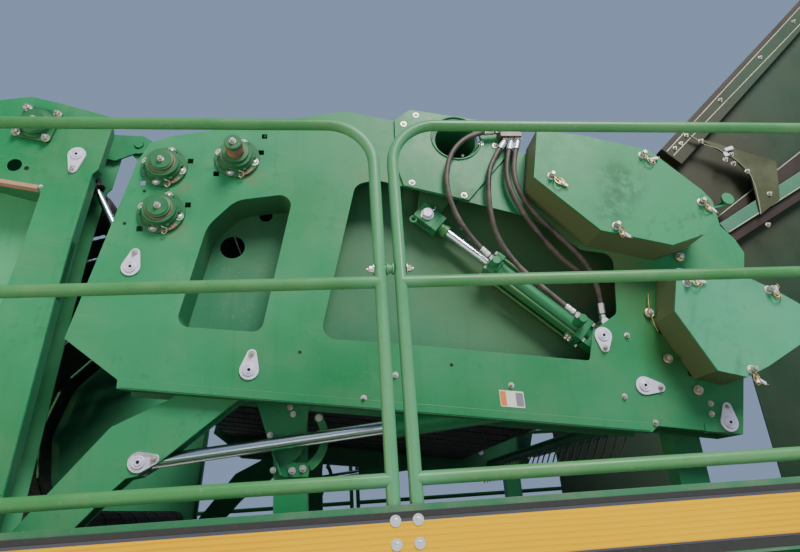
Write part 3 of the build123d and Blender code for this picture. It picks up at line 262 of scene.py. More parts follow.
@dataclass(frozen=True)
class Paint:
    """Farm-machine paint on steel: sun-faded patches, dust, run marks, specks and chips."""

    name: str
    colour: Spot
    faded: Spot
    slot: str = "green_paint"
    dust: Spot = (0.17, 0.20, 0.12)
    dusty: float = 0.15
    runs: float = 0.18
    streaks: float = 0.0
    blotches: float = 0.0
    spots: float = 0.22
    scuffs: float = 0.22
    chips: float = 0.3
    gloss: float = 0.42
    ripple: float = 0.10
    grain: float = 0.04
    stains: tuple[Stain, ...] = ()
    dust_and_shade_behind: float = 0.0

    def material(self) -> bpy.types.Material:
        """Build the material.

        Returns:
            The material.
        """
        w = Wiring(self.name)
        colour = w.blend(w.spread(w.noise(1.3, 5), 0.35, 0.65), self.colour, self.faded)
        cloud = w.noise(4.5, 7, 0.62, shift=(7, 1, 3))
        colour = w.blend(w.spread(cloud, 0.48, 0.74, 0, self.dusty), colour, self.dust)
        run = w.noise(3.0, 6, 0.6, stretch=(9, 9, 0.5), shift=(2, 8, 1))
        dark = tuple(DARKER * c for c in self.colour)
        colour = w.blend(w.spread(run, 0.56, 0.72, 0, self.runs), colour, dark)
        if self.streaks:
            slant = w.noise(5.0, 5, 0.6, stretch=(7, 1, 0.5), shift=(6, 2, 5), turn=(0, 0.42, 0))
            colour = w.blend(w.spread(slant, 0.58, 0.66, 0, self.streaks), colour, dark)
        colour = w.marks(colour, dark, self.blotches,
                         dict(scale=19, detail=4, rough=0.6, shift=(4, 4, 9)), (0.54, 0.62),
                         dict(scale=3.6, detail=2, rough=0.5, shift=(1, 6, 2)), (0.50, 0.60))
        colour = w.marks(colour, dark, self.spots,
                         dict(scale=24, detail=3, shift=(8, 3, 6)), (0.60, 0.68),
                         dict(scale=3.1, detail=2, rough=0.5, shift=(2, 7, 7)), (0.44, 0.60))
        colour = w.marks(colour, tuple(0.5 * c + 0.12 for c in self.faded), self.scuffs,
                         dict(scale=6, detail=3, rough=0.5, stretch=(0.5, 1, 22),
                              turn=(0, 0.22, 0)),
                         (0.66, 0.69), dict(scale=2.6, detail=2, rough=0.5, shift=(5, 5, 1)),
                         (0.50, 0.60))
        speck = w.noise(90, 2, 0.5)
        colour = w.blend(w.spread(speck, 0.66, 0.72, 0, 0.25), colour, self.dust)
        colour = w.marks(colour, PRIMER, self.chips,
                         dict(scale=36, detail=3, rough=0.6, shift=(1, 5, 5)), (0.70, 0.74),
                         dict(scale=2.2, detail=2, shift=(9, 0, 2)), (0.50, 0.62))
        # Stains add rust and dirt, and in some finishes painted shade and painted highlights.
        for stain in self.stains:
            away = w.add("ShaderNodeVectorMath", {"operation": "DISTANCE"})
            w.give(away.inputs[0], w.place)
            w.give(away.inputs[1], [MM * c for c in stain.centre])
            reach = stain.radius * MM
            near = w.spread(away.outputs["Value"], 0.35 * reach, reach, 1, 0)
            if stain.ragged:
                near = w.product(near, w.spread(w.noise(26, 5, 0.65, shift=(3, 3, 3)), 0.40, 0.56))
            colour = w.blend(w.product(near, stain.strength), colour, stain.colour)
        # Faces set back behind the front face turn olive: partly dust, partly painted shade and
        # bounce light.
        if self.dust_and_shade_behind:
            side = w.spread(w.height(1), -self.dust_and_shade_behind * MM, (8 - self.dust_and_shade_behind) * MM)
            colour = w.blend(w.product(side, 0.9), colour, SIDE_DUST_AND_SHADE)
        rough = w.maths("ADD", w.spread(cloud, 0.35, 0.75, self.gloss - 0.08, self.gloss + 0.2),
                        w.spread(speck, 0.4, 0.7, 0, 0.06))
        wavy = w.bump(w.noise(5.0, 2, 0.4), self.ripple, 0.01)
        return w.finish(Base_Color=colour, Roughness=rough, Specular_IOR_Level=0.27,
                        Coat_Weight=0.03, Coat_Roughness=0.3,
                        Normal=w.bump(w.noise(160, 3, 0.6), self.grain, 0.002, Normal=wavy))


@dataclass(frozen=True)
class Metal:
    """Plated, machined or cast metal with fine scratches and dull patches."""

    name: str
    colour: Spot
    dull: Spot
    slot: str = "zinc_plate"
    rough: float = 0.35
    spread: float = 0.15
    brushed: Spot = (1, 1, 1)
    metallic: float = 1.0
    grain: float = 0.05
    rust: float = 0.0

    def material(self) -> bpy.types.Material:
        """Build the material.

        Returns:
            The material.
        """
        w = Wiring(self.name)
        patch = w.noise(14, 6, 0.6)
        colour = w.blend(w.spread(patch, 0.4, 0.66), self.colour, self.dull)
        if self.rust:
            eaten = w.spread(w.noise(40, 6, 0.7, shift=(5, 2, 8)), 0.5, 0.64, 0, self.rust)
            colour = w.blend(eaten, colour, (0.17, 0.06, 0.025))
        fine = w.noise(220, 4, 0.6, stretch=self.brushed)
        rough = w.maths("ADD", w.spread(patch, 0.3, 0.7, self.rough, self.rough + self.spread),
                        w.spread(fine, 0.3, 0.7, 0, 0.08))
        return w.finish(Base_Color=colour, Metallic=self.metallic, Roughness=rough,
                        Normal=w.bump(fine, self.grain, 0.001))


@dataclass(frozen=True)
class Rubber:
    """Dusty rubber with a fine grain."""

    name: str
    colour: Spot
    dust: Spot
    slot: str = "black_rubber"
    dusty: float = 0.5
    rough: float = 0.7

    def material(self) -> bpy.types.Material:
        """Build the material.

        Returns:
            The material.
        """
        w = Wiring(self.name)
        film = w.noise(9, 7, 0.65)
        colour = w.blend(w.spread(film, 0.42, 0.66, 0, self.dusty), self.colour, self.dust)
        worn = w.noise(70, 4, 0.6)
        colour = w.blend(w.spread(worn, 0.55, 0.75, 0, 0.5), colour, self.dust)
        rough = w.spread(film, 0.3, 0.7, self.rough - 0.12, self.rough + 0.15)
        return w.finish(Base_Color=colour, Roughness=rough, Normal=w.bump(worn, 0.25, 0.002))


@dataclass(frozen=True)
class SafetyStrip:
    """Yellow edge strip with fine level bands, a dark line above and below, and its joints."""

    name: str = "yellow_strip"
    low: float = 299
    high: float = 388
    pitch: float = 13

    def material(self) -> bpy.types.Material:
        """Build the material.

        Returns:
            The material.
        """
        w = Wiring(self.name)
        height = w.height(2)
        drift = w.spread(w.noise(3, 3, stretch=(0.4, 1, 1)), 0.3, 0.7, -0.004, 0.004)
        level = w.maths("DIVIDE", w.maths("ADD", height, drift), self.pitch * MM)
        wave = w.maths("SINE", w.product(level, FULL_TURN), 0)
        colour = w.blend(w.spread(wave, 0.1, 1.0, 0, 0.6), (0.60, 0.335, 0.0), (0.50, 0.20, 0.0))
        fade = w.noise(2.4, 5, 0.6, stretch=(0.5, 1, 1))
        colour = w.blend(w.spread(fade, 0.42, 0.7, 0, 0.5), colour, (0.66, 0.40, 0.0))
        dirt = w.noise(22, 6, 0.7, shift=(1, 2, 0))
        colour = w.blend(w.spread(dirt, 0.62, 0.76, 0, 0.22), colour, (0.30, 0.19, 0.04))
        joint = w.maths("FRACT", w.maths("DIVIDE", w.maths("ADD", w.height(0), 5.0), 0.3), 0)
        colour = w.blend(w.spread(joint, 0.0, 0.006, 0.5, 0), colour, (0.50, 0.30, 0.02))
        edge = w.maths("MAXIMUM", w.spread(height, self.high * MM, (self.high + 1) * MM),
                       w.spread(height, (self.low - 1) * MM, self.low * MM, 1, 0))
        colour = w.blend(edge, colour, (0.06, 0.062, 0.075))
        return w.finish(Base_Color=colour, Roughness=w.spread(fade, 0.3, 0.7, 0.34, 0.55),
                        Normal=w.bump(wave, 0.12, 0.001), Specular_IOR_Level=0.03)


@dataclass(frozen=True)
class Ground:
    """Plain pale floor."""

    name: str = "floor_pale"

    def material(self) -> bpy.types.Material:
        """Build the material.

        Returns:
            The material.
        """
        w = Wiring(self.name)
        tone = w.blend(w.noise(1.5, 4), (0.66, 0.65, 0.63), (0.72, 0.71, 0.69))
        return w.finish(Base_Color=tone, Roughness=0.85)


RUST = (0.17, 0.055, 0.022)
SOOT = (0.018, 0.028, 0.014)
# Painted shade: olive darkening in the upper and deep right parts of the recess.
RECESS_SHADE = (0.046, 0.105, 0.040)
SHADE = (0.008, 0.075, 0.026)
# Painted shade: olive darkening beside the lower cover.
LOWER_COVER_SHADE = (0.030, 0.105, 0.022)
# Painted shade: olive darkening below the upper cover.
UPPER_COVER_SHADE = (0.075, 0.120, 0.045)
SHEET_STAINS = (
    Stain((-985, -SKIN, 1648), 62, RUST, 0.25), Stain((-985, -SKIN, 1452), 58, RUST, 0.25),
    Stain((-700, -SKIN, 1690), 60, RUST, 0.25), Stain((-200, -SKIN, 1660), 120, RUST, 0.3),
    Stain((170, -SKIN, 1580), 110, SOOT, 0.4), Stain((330, -SKIN, 960), 60, RUST, 0.3),
    Stain((-900, -SKIN, 1240), 160, (0.10, 0.24, 0.13), 0.3),
    # Olive patches beside the lower cover are painted shade.
    Stain((840, -SKIN, 1130), 190, LOWER_COVER_SHADE, 0.65, False),
    Stain((900, -SKIN, 920), 170, LOWER_COVER_SHADE, 0.65, False),
    # Olive patches below the upper cover are painted shade.
    Stain((540, -SKIN, 1400), 170, UPPER_COVER_SHADE, 0.7, False),
    Stain((760, -SKIN, 1290), 150, UPPER_COVER_SHADE, 0.7, False),
)


FINISHES: dict[str, Paint | Metal | Rubber | SafetyStrip | Ground] = {
    "sheet": Paint("sheet_green", (0.011, 0.155, 0.052), (0.024, 0.200, 0.084),
                   stains=SHEET_STAINS),
    "inner": Paint("inner_green", (0.012, 0.118, 0.050), (0.024, 0.145, 0.068), dusty=0.22,
                   gloss=0.5,
                   # The olive patches on the recess walls are painted shade; the one RUST patch is
                   # real rust.
                   stains=(Stain((-130, -WALL, 1560), 620, RECESS_SHADE, 0.45, False),
                           Stain((480, -WALL, 1300), 560, RECESS_SHADE, 0.85, False),
                           Stain((700, -WALL, 1190), 170, RUST, 0.35),
                           Stain((-800, -WALL, 1640), 330, RECESS_SHADE, 0.5, False))),
    # Lighter copy of the sheet green for the gate walls, painted light against their shadow; the
    # SHADE patches are painted shade.
    "window": Paint("window_green_lit", (0.036, 0.250, 0.110), (0.052, 0.290, 0.135), dusty=0.2,
                    gloss=0.5,
                    stains=tuple(Stain((x, -WALL, z), 210, SHADE, 0.8, False)
                                 for x, z in ((-1290, 1660), (-1310, 1480), (-1340, 1290),
                                              (-1360, 1100), (-1385, 900), (-1410, 720)))),
    # The cover's sides behind its face turn olive, partly dust and partly painted shade; SHADE
    # patches are painted shade.
    "cover": Paint("cover_green", (0.015, 0.175, 0.064), (0.025, 0.212, 0.088), "cover_green",
                   dusty=0.10, runs=0.10, blotches=0.5, gloss=0.46, dust_and_shade_behind=1547,
                   stains=(Stain((760, -1550, 1560), 130, SHADE, 0.75),
                           Stain((700, -1550, 1450), 100, SHADE, 0.6))),
    # Lighter copy of the cover paint for the lower cover: painted light, with real slanted
    # streaks.
    "lit_cover": Paint("cover_green_lit", (0.044, 0.255, 0.130), (0.064, 0.305, 0.168), "cover_green",
                    dusty=0.12, runs=0.05, streaks=0.35, blotches=0.15, gloss=0.46,
                    dust_and_shade_behind=1547),
    "rail": Paint("rail_green", (0.030, 0.157, 0.042), (0.060, 0.207, 0.072), "rail_green",
                  dust=(0.20, 0.24, 0.14), dusty=0.24, runs=0.10, chips=0.6, gloss=0.36,
                  ripple=0.03,
                  # Lighter patches on the two middle posts are painted highlights.
                  stains=tuple(Stain((-238, -1990, z), 160, (0.072, 0.255, 0.130), 0.65, False)
                               for z in range(460, 1461, 200))),
    # Very dark base and large brown patches on the hood's left part: painted shade, partly dust.
    "hood": Paint("hood_olive_shaded", (0.007, 0.026, 0.010), (0.010, 0.034, 0.014), "hood_green",
                  dust=(0.045, 0.042, 0.02), dusty=0.22, gloss=0.5, spots=0.1,
                  stains=(Stain((1380, -1200, 1960), 560, (0.024, 0.021, 0.008), 0.8, False),
                          Stain((1500, -1200, 1650), 420, (0.022, 0.022, 0.009), 0.7, False))),
    "olive": Paint("bracket_olive", (0.032, 0.038, 0.012), (0.044, 0.050, 0.019), "hood_green",
                   dusty=0.2, gloss=0.45),
    # Pale lines along the hood rim, bracket and beam edges: painted highlights.
    "line": Metal("bright_edge_highlight", (0.30, 0.33, 0.23), (0.20, 0.23, 0.15), rough=0.35, spread=0.2,
                  metallic=0.4),
    "beam": Paint("beam_green", (0.028, 0.120, 0.068), (0.045, 0.150, 0.090), dusty=0.2,
                  gloss=0.45),
    "cast": Paint("cast_green", (0.008, 0.095, 0.034), (0.020, 0.120, 0.048), "green_cast",
                  dusty=0.22, gloss=0.5, ripple=0.3, grain=0.35, chips=0.8),
    "deck": Paint("deck_green", (0.014, 0.100, 0.042), (0.028, 0.130, 0.060),
                  dust=(0.18, 0.17, 0.13), dusty=0.45, gloss=0.55),
    "plate": Metal("plate_pale", (0.62, 0.61, 0.76), (0.52, 0.50, 0.64), rough=0.38, spread=0.12,
                   metallic=0.25, grain=0.02),
    # Dark brown of the hood's flanges; also the painted shadow band along the rim.
    "brown": Paint("brown_flange_and_shadow", (0.013, 0.008, 0.006), (0.024, 0.014, 0.009), "dark_steel",
                   dust=(0.06, 0.04, 0.03), dusty=0.2, gloss=0.5),
    "tread": Rubber("grip_band", (0.010, 0.011, 0.011), (0.035, 0.036, 0.035), dusty=0.35,
                    rough=0.8),
    "amber": Paint("amber_field", (0.62, 0.16, 0.02), (0.66, 0.20, 0.04), "zinc_plate", dusty=0.15,
                   chips=0.2),
    "lilac": Paint("lilac_field", (0.16, 0.15, 0.20), (0.22, 0.20, 0.25), "zinc_plate", dusty=0.2,
                   chips=0.2),
    "zinc": Metal("zinc_bright", (0.72, 0.74, 0.76), (0.56, 0.57, 0.58), rough=0.30, spread=0.18),
    "screw": Metal("screw_zinc", (0.66, 0.65, 0.60), (0.42, 0.40, 0.34), rough=0.30, spread=0.2,
                   rust=0.4),
    "steel": Metal("steel_dark", (0.13, 0.125, 0.12), (0.22, 0.20, 0.18), "dark_steel", rough=0.45,
                   spread=0.2, rust=0.35),
    "oily": Metal("chain_oily", (0.075, 0.070, 0.066), (0.15, 0.12, 0.10), "dark_steel",
                  rough=0.30, spread=0.25, rust=0.25),
    "chrome": Metal("chrome_rod", (0.80, 0.82, 0.85), (0.70, 0.72, 0.75), "chrome_rod", rough=0.10,
                    spread=0.08, brushed=(1, 1, 0.05), grain=0.01),
    "brass": Metal("brass_ring", (0.62, 0.44, 0.20), (0.40, 0.27, 0.14), rough=0.3, spread=0.2),
    "rusty": Metal("rusty_steel", (0.23, 0.11, 0.07), (0.30, 0.17, 0.12), "dark_steel", rough=0.65,
                   spread=0.2, metallic=0.3, grain=0.3, rust=0.8),
    "pinkish": Paint("faded_primer", (0.33, 0.16, 0.12), (0.40, 0.24, 0.18), dusty=0.4, gloss=0.6),
    "belt": Rubber("belt_rubber", (0.016, 0.015, 0.015), (0.09, 0.075, 0.06), dusty=0.5),
    "hose": Rubber("hose_rubber", (0.020, 0.018, 0.018), (0.14, 0.105, 0.085), "hose_rubber",
                   dusty=0.65, rough=0.55),
    # Black paint of the gate barrels; also black discs and squares standing for the shade inside
    # holes.
    "black": Paint("black_paint_and_hole_shade", (0.008, 0.008, 0.009), (0.016, 0.016, 0.018), "dark_steel",
                   dusty=0.08, gloss=0.32),
    "strip": SafetyStrip(),
    "blank": Paint("blank_plate", (0.62, 0.61, 0.58), (0.70, 0.69, 0.66), "zinc_plate", dusty=0.3,
                   chips=0.5),
    "floor": Ground(),
}


@cache
def material(finish: str) -> bpy.types.Material:
    """Material of one finish, made when it is first used."""
    return FINISHES[finish].material()


# ---------------------------------------------------------------- mesh work


def placed(name: str, data: bpy.types.ID) -> bpy.types.Object:
    """New object in the scene.

    Args:
        name: The object's name.
        data: What it shows.

    Returns:
        The object.
    """
    obj = bpy.data.objects.new(name, data)
    bpy.context.scene.collection.objects.link(obj)
    return obj


class Work:
    """Faces of one piece, in millimetres. Across the machine, sizes are distances to the right."""

    def __init__(self) -> None:
        """Start with no faces."""
        self.bm = bmesh.new()

    def loft(self, rings: list[list[Vector]], closed: bool = True) -> None:
        """Skin over rings of as many points each.

        Args:
            rings: The rings, in order.
            closed: Whether the two end rings get a face.
        """
        rows = [[self.bm.verts.new(p) for p in ring] for ring in rings]
        count = len(rings[0])
        for row, after in zip(rows, rows[1:]):
            for k in range(count):
                self.bm.faces.new((row[k], row[(k + 1) % count], after[(k + 1) % count], after[k]))
        if closed:
            self.bm.faces.new(rows[0])
            self.bm.faces.new(rows[-1])

    def prism(self, outline: list[Point], near: float, far: float) -> None:
        """Plate with a side outline, between two distances to the right."""
        self.loft([[Vector((x, -y, z)) for x, z in outline] for y in (near, far)])

    def lathe(self, profile: list[Point], centre: Spot, way: Vector, turns: int = 32) -> None:
        """Turned solid.

        Args:
            profile: Pairs of distance along the axis and radius, from end to end.
            centre: Where distance 0 lies.
            way: The axis.
            turns: Faces round it.
        """
        axis = Vector(way).normalized()
        spin = axis.to_track_quat("Z", "Y")
        angles = [2 * math.pi * k / turns for k in range(turns)]
        rings = []
        for along, radius in profile:
            rings.append([Vector(centre) + axis * along
                          + spin @ Vector((radius * math.cos(a), radius * math.sin(a), 0))
                          for a in angles])
        self.loft(rings)

    def disc(self, centre: Point, profile: list[Point], turns: int = 32) -> None:
        """Turned solid on a side point, its profile given as distance to the right and radius."""
        self.lathe(profile, (centre[0], 0, centre[1]), Vector((0, -1, 0)), turns)

    def rod(self, start: Spot, end: Spot, radius: float, turns: int = 20) -> None:
        """Round bar between two points."""
        way = Vector(end) - Vector(start)
        self.lathe([(0, radius), (way.length, radius)], start, way, turns)

    def ring(self, centre: Spot, way: Vector, radius: float, wire: float, turns: int = 28,
             sides: int = 8) -> None:
        """Wire ring.

        Args:
            centre: The ring's centre.
            way: Its axis.
            radius: Its radius.
            wire: The wire's radius.
            turns: Steps round the ring.
            sides: Faces round the wire.
        """
        spin = Vector(way).normalized().to_track_quat("Z", "Y")
        angles = [2 * math.pi * j / sides for j in range(sides)]
        rings = []
        for k in range(turns + 1):
            a = math.radians(360 * k / turns)
            out = Vector((math.cos(a), math.sin(a), 0))
            rings.append([Vector(centre) + spin @ (out * (radius + wire * math.cos(b))
                                                   + Vector((0, 0, wire * math.sin(b))))
                          for b in angles])
        self.loft(rings, closed=False)
        bmesh.ops.remove_doubles(self.bm, verts=self.bm.verts, dist=0.01)

    def pipe(self, points: list[Spot], radius: float, sides: int = 10) -> None:
        """Bent bar through points.

        Args:
            points: The points.
            radius: The bar's radius.
            sides: Faces round it.
        """
        spots = [Vector(p) for p in points]
        angles = [2 * math.pi * j / sides for j in range(sides)]
        rings = []
        for k, spot in enumerate(spots):
            way = (spots[min(k + 1, len(spots) - 1)] - spots[max(k - 1, 0)]).normalized()
            level = Vector((0, 1, 0)) if abs(way.y) < 0.9 else Vector((1, 0, 0))
            side = way.cross(level).normalized()
            up = way.cross(side)
            rings.append([spot + radius * (side * math.cos(b) + up * math.sin(b)) for b in angles])
        self.loft(rings)

    def both_sides(self) -> "Work":
        """Repeat everything on the left side.

        Returns:
            The same work.
        """
        copy = bmesh.ops.duplicate(self.bm, geom=self.bm.verts[:] + self.bm.edges[:]
                                   + self.bm.faces[:])
        for item in copy["geom"]:
            if isinstance(item, bmesh.types.BMVert):
                item.co.y = -item.co.y
        return self

    def mesh(self, name: str) -> bpy.types.Mesh:
        """End the work as a mesh in metres.

        Args:
            name: The mesh's name.

        Returns:
            The mesh.
        """
        bmesh.ops.recalc_face_normals(self.bm, faces=self.bm.faces[:])
        bmesh.ops.scale(self.bm, vec=(MM, MM, MM), verts=self.bm.verts[:])
        mesh = bpy.data.meshes.new(name)
        self.bm.to_mesh(mesh)
        self.bm.free()
        return mesh

    def piece(self, name: str, finish: str, body: str = "frame",
              bevel: float = 0.0, sharp: float = 35.0,
              replaces: tuple[str, ...] = ()) -> bpy.types.Object:
        """Close the work as one object that rides on a body.

        Args:
            name: The object's name.
            finish: Key of its finish.
            body: The body it rides on.
            bevel: Width of its rounded edges.
            sharp: Edges over this many degrees stay sharp.
            replaces: The frame's nodes that it stands for.

        Returns:
            The object.
        """
        return dress(self.mesh(name), name, finish, body, bevel, sharp, replaces)


def dress(mesh: bpy.types.Mesh, name: str, finish: str, body: str, bevel: float = 0.0,
          sharp: float = 35.0, replaces: tuple[str, ...] = ()) -> bpy.types.Object:
    """Object with a finish, a bevel and a body to ride on.

    Args:
        mesh: Its mesh, in metres.
        name: Its name.
        finish: Key of its finish.
        body: The body it rides on.
        bevel: Width of its rounded edges, in millimetres.
        sharp: Edges over this many degrees stay sharp.
        replaces: The frame's nodes that it stands for.

    Returns:
        The object.
    """
    mesh.materials.clear()
    mesh.materials.append(material(finish))
    mesh.polygons.foreach_set("use_smooth", [True] * len(mesh.polygons))
    obj = placed(name, mesh)
    if bevel:
        soften = obj.modifiers.new("edges", "BEVEL")
        soften.width = bevel * MM
        soften.segments = 2
        soften.limit_method = "ANGLE"
        soften.angle_limit = math.radians(sharp)
        even = obj.modifiers.new("faces", "WEIGHTED_NORMAL")
        even.mode = "FACE_AREA"
        even.weight = 100
    else:
        mesh.set_sharp_from_angle(angle=math.radians(sharp))
    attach(obj, body)
    LOG.info("piece %s on %s, %d faces", name, body, len(mesh.polygons))
    if replaces:
        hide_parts(*replaces)
    return obj


def rounded_copy(node: str, finish: str, body: str = "frame",
                 bevel: float = 1.6, sharp: float = 30.0) -> bpy.types.Object:
    """Copy of a frame node with its edges rounded, which stands for it.

    Args:
        node: The node.
        finish: Key of its finish.
        body: The body it rides on.
        bevel: Width of the rounding, in millimetres.
        sharp: Edges over this many degrees are rounded.

    Returns:
        The new object.
    """
    bm = bmesh.new()
    bm.from_mesh(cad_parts[node].data)
    bmesh.ops.remove_doubles(bm, verts=bm.verts[:], dist=2e-6)
    bmesh.ops.dissolve_limit(bm, angle_limit=math.radians(0.6), verts=bm.verts[:],
                             edges=bm.edges[:])
    bmesh.ops.recalc_face_normals(bm, faces=bm.faces[:])
    mesh = bpy.data.meshes.new(node + "_rounded")
    bm.to_mesh(mesh)
    bm.free()
    for attribute in ("custom_normal", "sharp_edge", "sharp_face"):
        if attribute in mesh.attributes:
            mesh.attributes.remove(mesh.attributes[attribute])
    return dress(mesh, node + "_rounded", finish, body, bevel, sharp, (node,))


# ---------------------------------------------------------------- geometry node trees


class Tree(Nodes):
    """A geometry node tree under construction."""

    def __init__(self, name: str) -> None:
        """Start a tree with a geometry input and output.

        Args:
            name: The tree's name.
        """
        super().__init__(bpy.data.node_groups.new(name, "GeometryNodeTree"))
        self.faces = self.tree.interface
        self.faces.new_socket("Geometry", in_out="INPUT", socket_type="NodeSocketGeometry")
        self.faces.new_socket("Geometry", in_out="OUTPUT", socket_type="NodeSocketGeometry")
        self.entry = self.tree.nodes.new("NodeGroupInput")
        self.keys: dict[str, str] = {}

    def size(self, name: str, kind: str = "NodeSocketFloat") -> bpy.types.NodeSocket:
        """Add a named input and return its socket.

        Args:
            name: The input's name.
            kind: Its socket type.

        Returns:
            Its socket.
        """
        socket = self.faces.new_socket(name, in_out="INPUT", socket_type=kind)
        self.keys[name] = socket.identifier
        return self.entry.outputs[name]

    def vector(self, name: str) -> bpy.types.NodeSocket:
        """Vector attribute of the points."""
        return self.add("GeometryNodeInputNamedAttribute", {"data_type": "FLOAT_VECTOR"},
                        Name=name).outputs[0]

    def join(self, parts: list[bpy.types.NodeSocket]) -> bpy.types.NodeSocket:
        """Several geometries as one.

        Args:
            parts: The geometries.

        Returns:
            The one geometry.
        """
        node = self.tree.nodes.new("GeometryNodeJoinGeometry")
        for part in parts:
            self.tree.links.new(part, node.inputs[0])
        return node.outputs[0]

    def moved(self, part: bpy.types.NodeSocket, z: object) -> bpy.types.NodeSocket:
        """Geometry moved up its own axis."""
        lift = self.add("ShaderNodeCombineXYZ", Z=z)
        return self.add("GeometryNodeTransform", Geometry=part,
                        Translation=lift.outputs[0]).outputs[0]

    def close(self, instances: bpy.types.NodeSocket) -> None:
        """End the tree in real faces with their finish.

        Args:
            instances: The tree's instances.
        """
        real = self.add("GeometryNodeRealizeInstances", Geometry=instances)
        done = self.add("GeometryNodeSetMaterial", Geometry=real.outputs[0],
                        Material=self.size("Material", "NodeSocketMaterial"))
        self.add("NodeGroupOutput", Geometry=done.outputs[0])


def scattered(tree: Tree, part: bpy.types.NodeSocket) -> bpy.types.NodeSocket:
    """Stand a part on every point, facing the point's way, with a chance turn about that axis.

    Args:
        tree: The tree.
        part: The part, built along Z.

    Returns:
        The instances.
    """
    turn = tree.add("FunctionNodeAlignRotationToVector", {"axis": "Z"},
                    Vector=tree.vector("facing"))
    stand = tree.add("GeometryNodeInstanceOnPoints", Points=tree.entry.outputs["Geometry"],
                     Instance=part, Rotation=turn.outputs[0])
    chance = tree.add("FunctionNodeRandomValue", {"data_type": "FLOAT"},
                      Seed=tree.size("Seed", "NodeSocketInt"))
    tree.give(chance.inputs[3], FULL_TURN)
    euler = tree.add("ShaderNodeCombineXYZ", Z=chance.outputs[1])
    return tree.add("GeometryNodeRotateInstances", Instances=stand.outputs[0],
                    Rotation=euler.outputs[0]).outputs[0]


@cache
def hex_screw_tree() -> Tree:
    """Hexagon screw or nut with its washer and a thread end.

    Returns:
        The tree.
    """
    tree = Tree("hex_screws")
    across, height = tree.size("Across"), tree.size("Height")
    washer, thick = tree.size("Washer"), tree.size("Washer Thickness")
    radius = tree.product(across, 0.57735)
    flat = tree.add("GeometryNodeMeshCylinder", Vertices=6, Radius=radius, Depth=height)
    rim = tree.add("GeometryNodeMeshCone", Vertices=6, Radius_Top=tree.product(radius, 0.84),
                   Radius_Bottom=radius, Depth=tree.product(height, 0.16))
    ring = tree.add("GeometryNodeMeshCylinder", Vertices=20, Radius=washer, Depth=thick)
    end = tree.add("GeometryNodeMeshCylinder", Vertices=12, Radius=tree.product(across, 0.27),
                   Depth=tree.product(height, 1.9))
    top = tree.maths("ADD", thick, height)
    parts = [tree.moved(flat.outputs[0], tree.maths("ADD", thick, tree.product(height, 0.5))),
             tree.moved(rim.outputs[0], top),
             tree.moved(ring.outputs[0], tree.product(thick, 0.5)),
             tree.moved(end.outputs[0], tree.product(height, 0.95))]
    tree.close(scattered(tree, tree.join(parts)))
    return tree


@cache
def dome_screw_tree() -> Tree:
    """Domed coach bolt head on a thin washer.

    Returns:
        The tree.
    """
    tree = Tree("dome_screws")
    across, height = tree.size("Across"), tree.size("Height")
    washer, thick = tree.size("Washer"), tree.size("Washer Thickness")
    ball = tree.add("GeometryNodeMeshUVSphere", Segments=20, Rings=10, Radius=0.5)
    scale = tree.add("ShaderNodeCombineXYZ", X=across, Y=across, Z=tree.product(height, 2))
    dome = tree.add("GeometryNodeTransform", Geometry=ball.outputs[0], Scale=scale.outputs[0])
    ring = tree.add("GeometryNodeMeshCylinder", Vertices=20, Radius=washer, Depth=thick)
    smooth = tree.add("GeometryNodeSetShadeSmooth", Geometry=dome.outputs[0])
    parts = [smooth.outputs[0], tree.moved(ring.outputs[0], tree.product(thick, 0.5))]
    tree.close(scattered(tree, tree.join(parts)))
    return tree


@cache
def copies_tree() -> Tree:
    """One small part repeated on every point.

    Returns:
        The tree.
    """
    tree = Tree("repeats")
    info = tree.add("GeometryNodeObjectInfo", Object=tree.size("Part", "NodeSocketObject"))
    stand = tree.add("GeometryNodeInstanceOnPoints", Points=tree.entry.outputs["Geometry"],
                     Instance=info.outputs["Geometry"], Rotation=tree.vector("turned"))
    tree.close(stand.outputs[0])
    return tree


@cache
def belt_tree() -> Tree:
    """Ribbed belts side by side: ribs on the path's points, and the set repeated across.

    Returns:
        The tree.
    """
    tree = Tree("belt_set")
    wide, gap = tree.size("Belt Width"), tree.size("Belt Gap")
    count = tree.size("Belts", "NodeSocketInt")
    rib, high = tree.size("Rib Length"), tree.size("Rib Height")
    size = tree.add("ShaderNodeCombineXYZ", X=rib, Y=wide, Z=high)
    bar = tree.add("GeometryNodeMeshCube", Size=size.outputs[0])
    ribs = tree.add("GeometryNodeInstanceOnPoints", Points=tree.entry.outputs["Geometry"],
                    Instance=bar.outputs[0], Rotation=tree.vector("turned"))
    pitch = tree.maths("ADD", wide, gap)
    step = tree.add("ShaderNodeCombineXYZ", Y=pitch)
    first = tree.product(pitch, tree.product(tree.maths("SUBTRACT", count, 1), -0.5))
    start = tree.add("ShaderNodeCombineXYZ", Y=first)
    line = tree.add("GeometryNodeMeshLine", Count=count, Start_Location=start.outputs[0],
                    Offset=step.outputs[0])
    sets = tree.add("GeometryNodeInstanceOnPoints", Points=line.outputs[0],
                    Instance=ribs.outputs[0])
    tree.close(sets.outputs[0])
    return tree


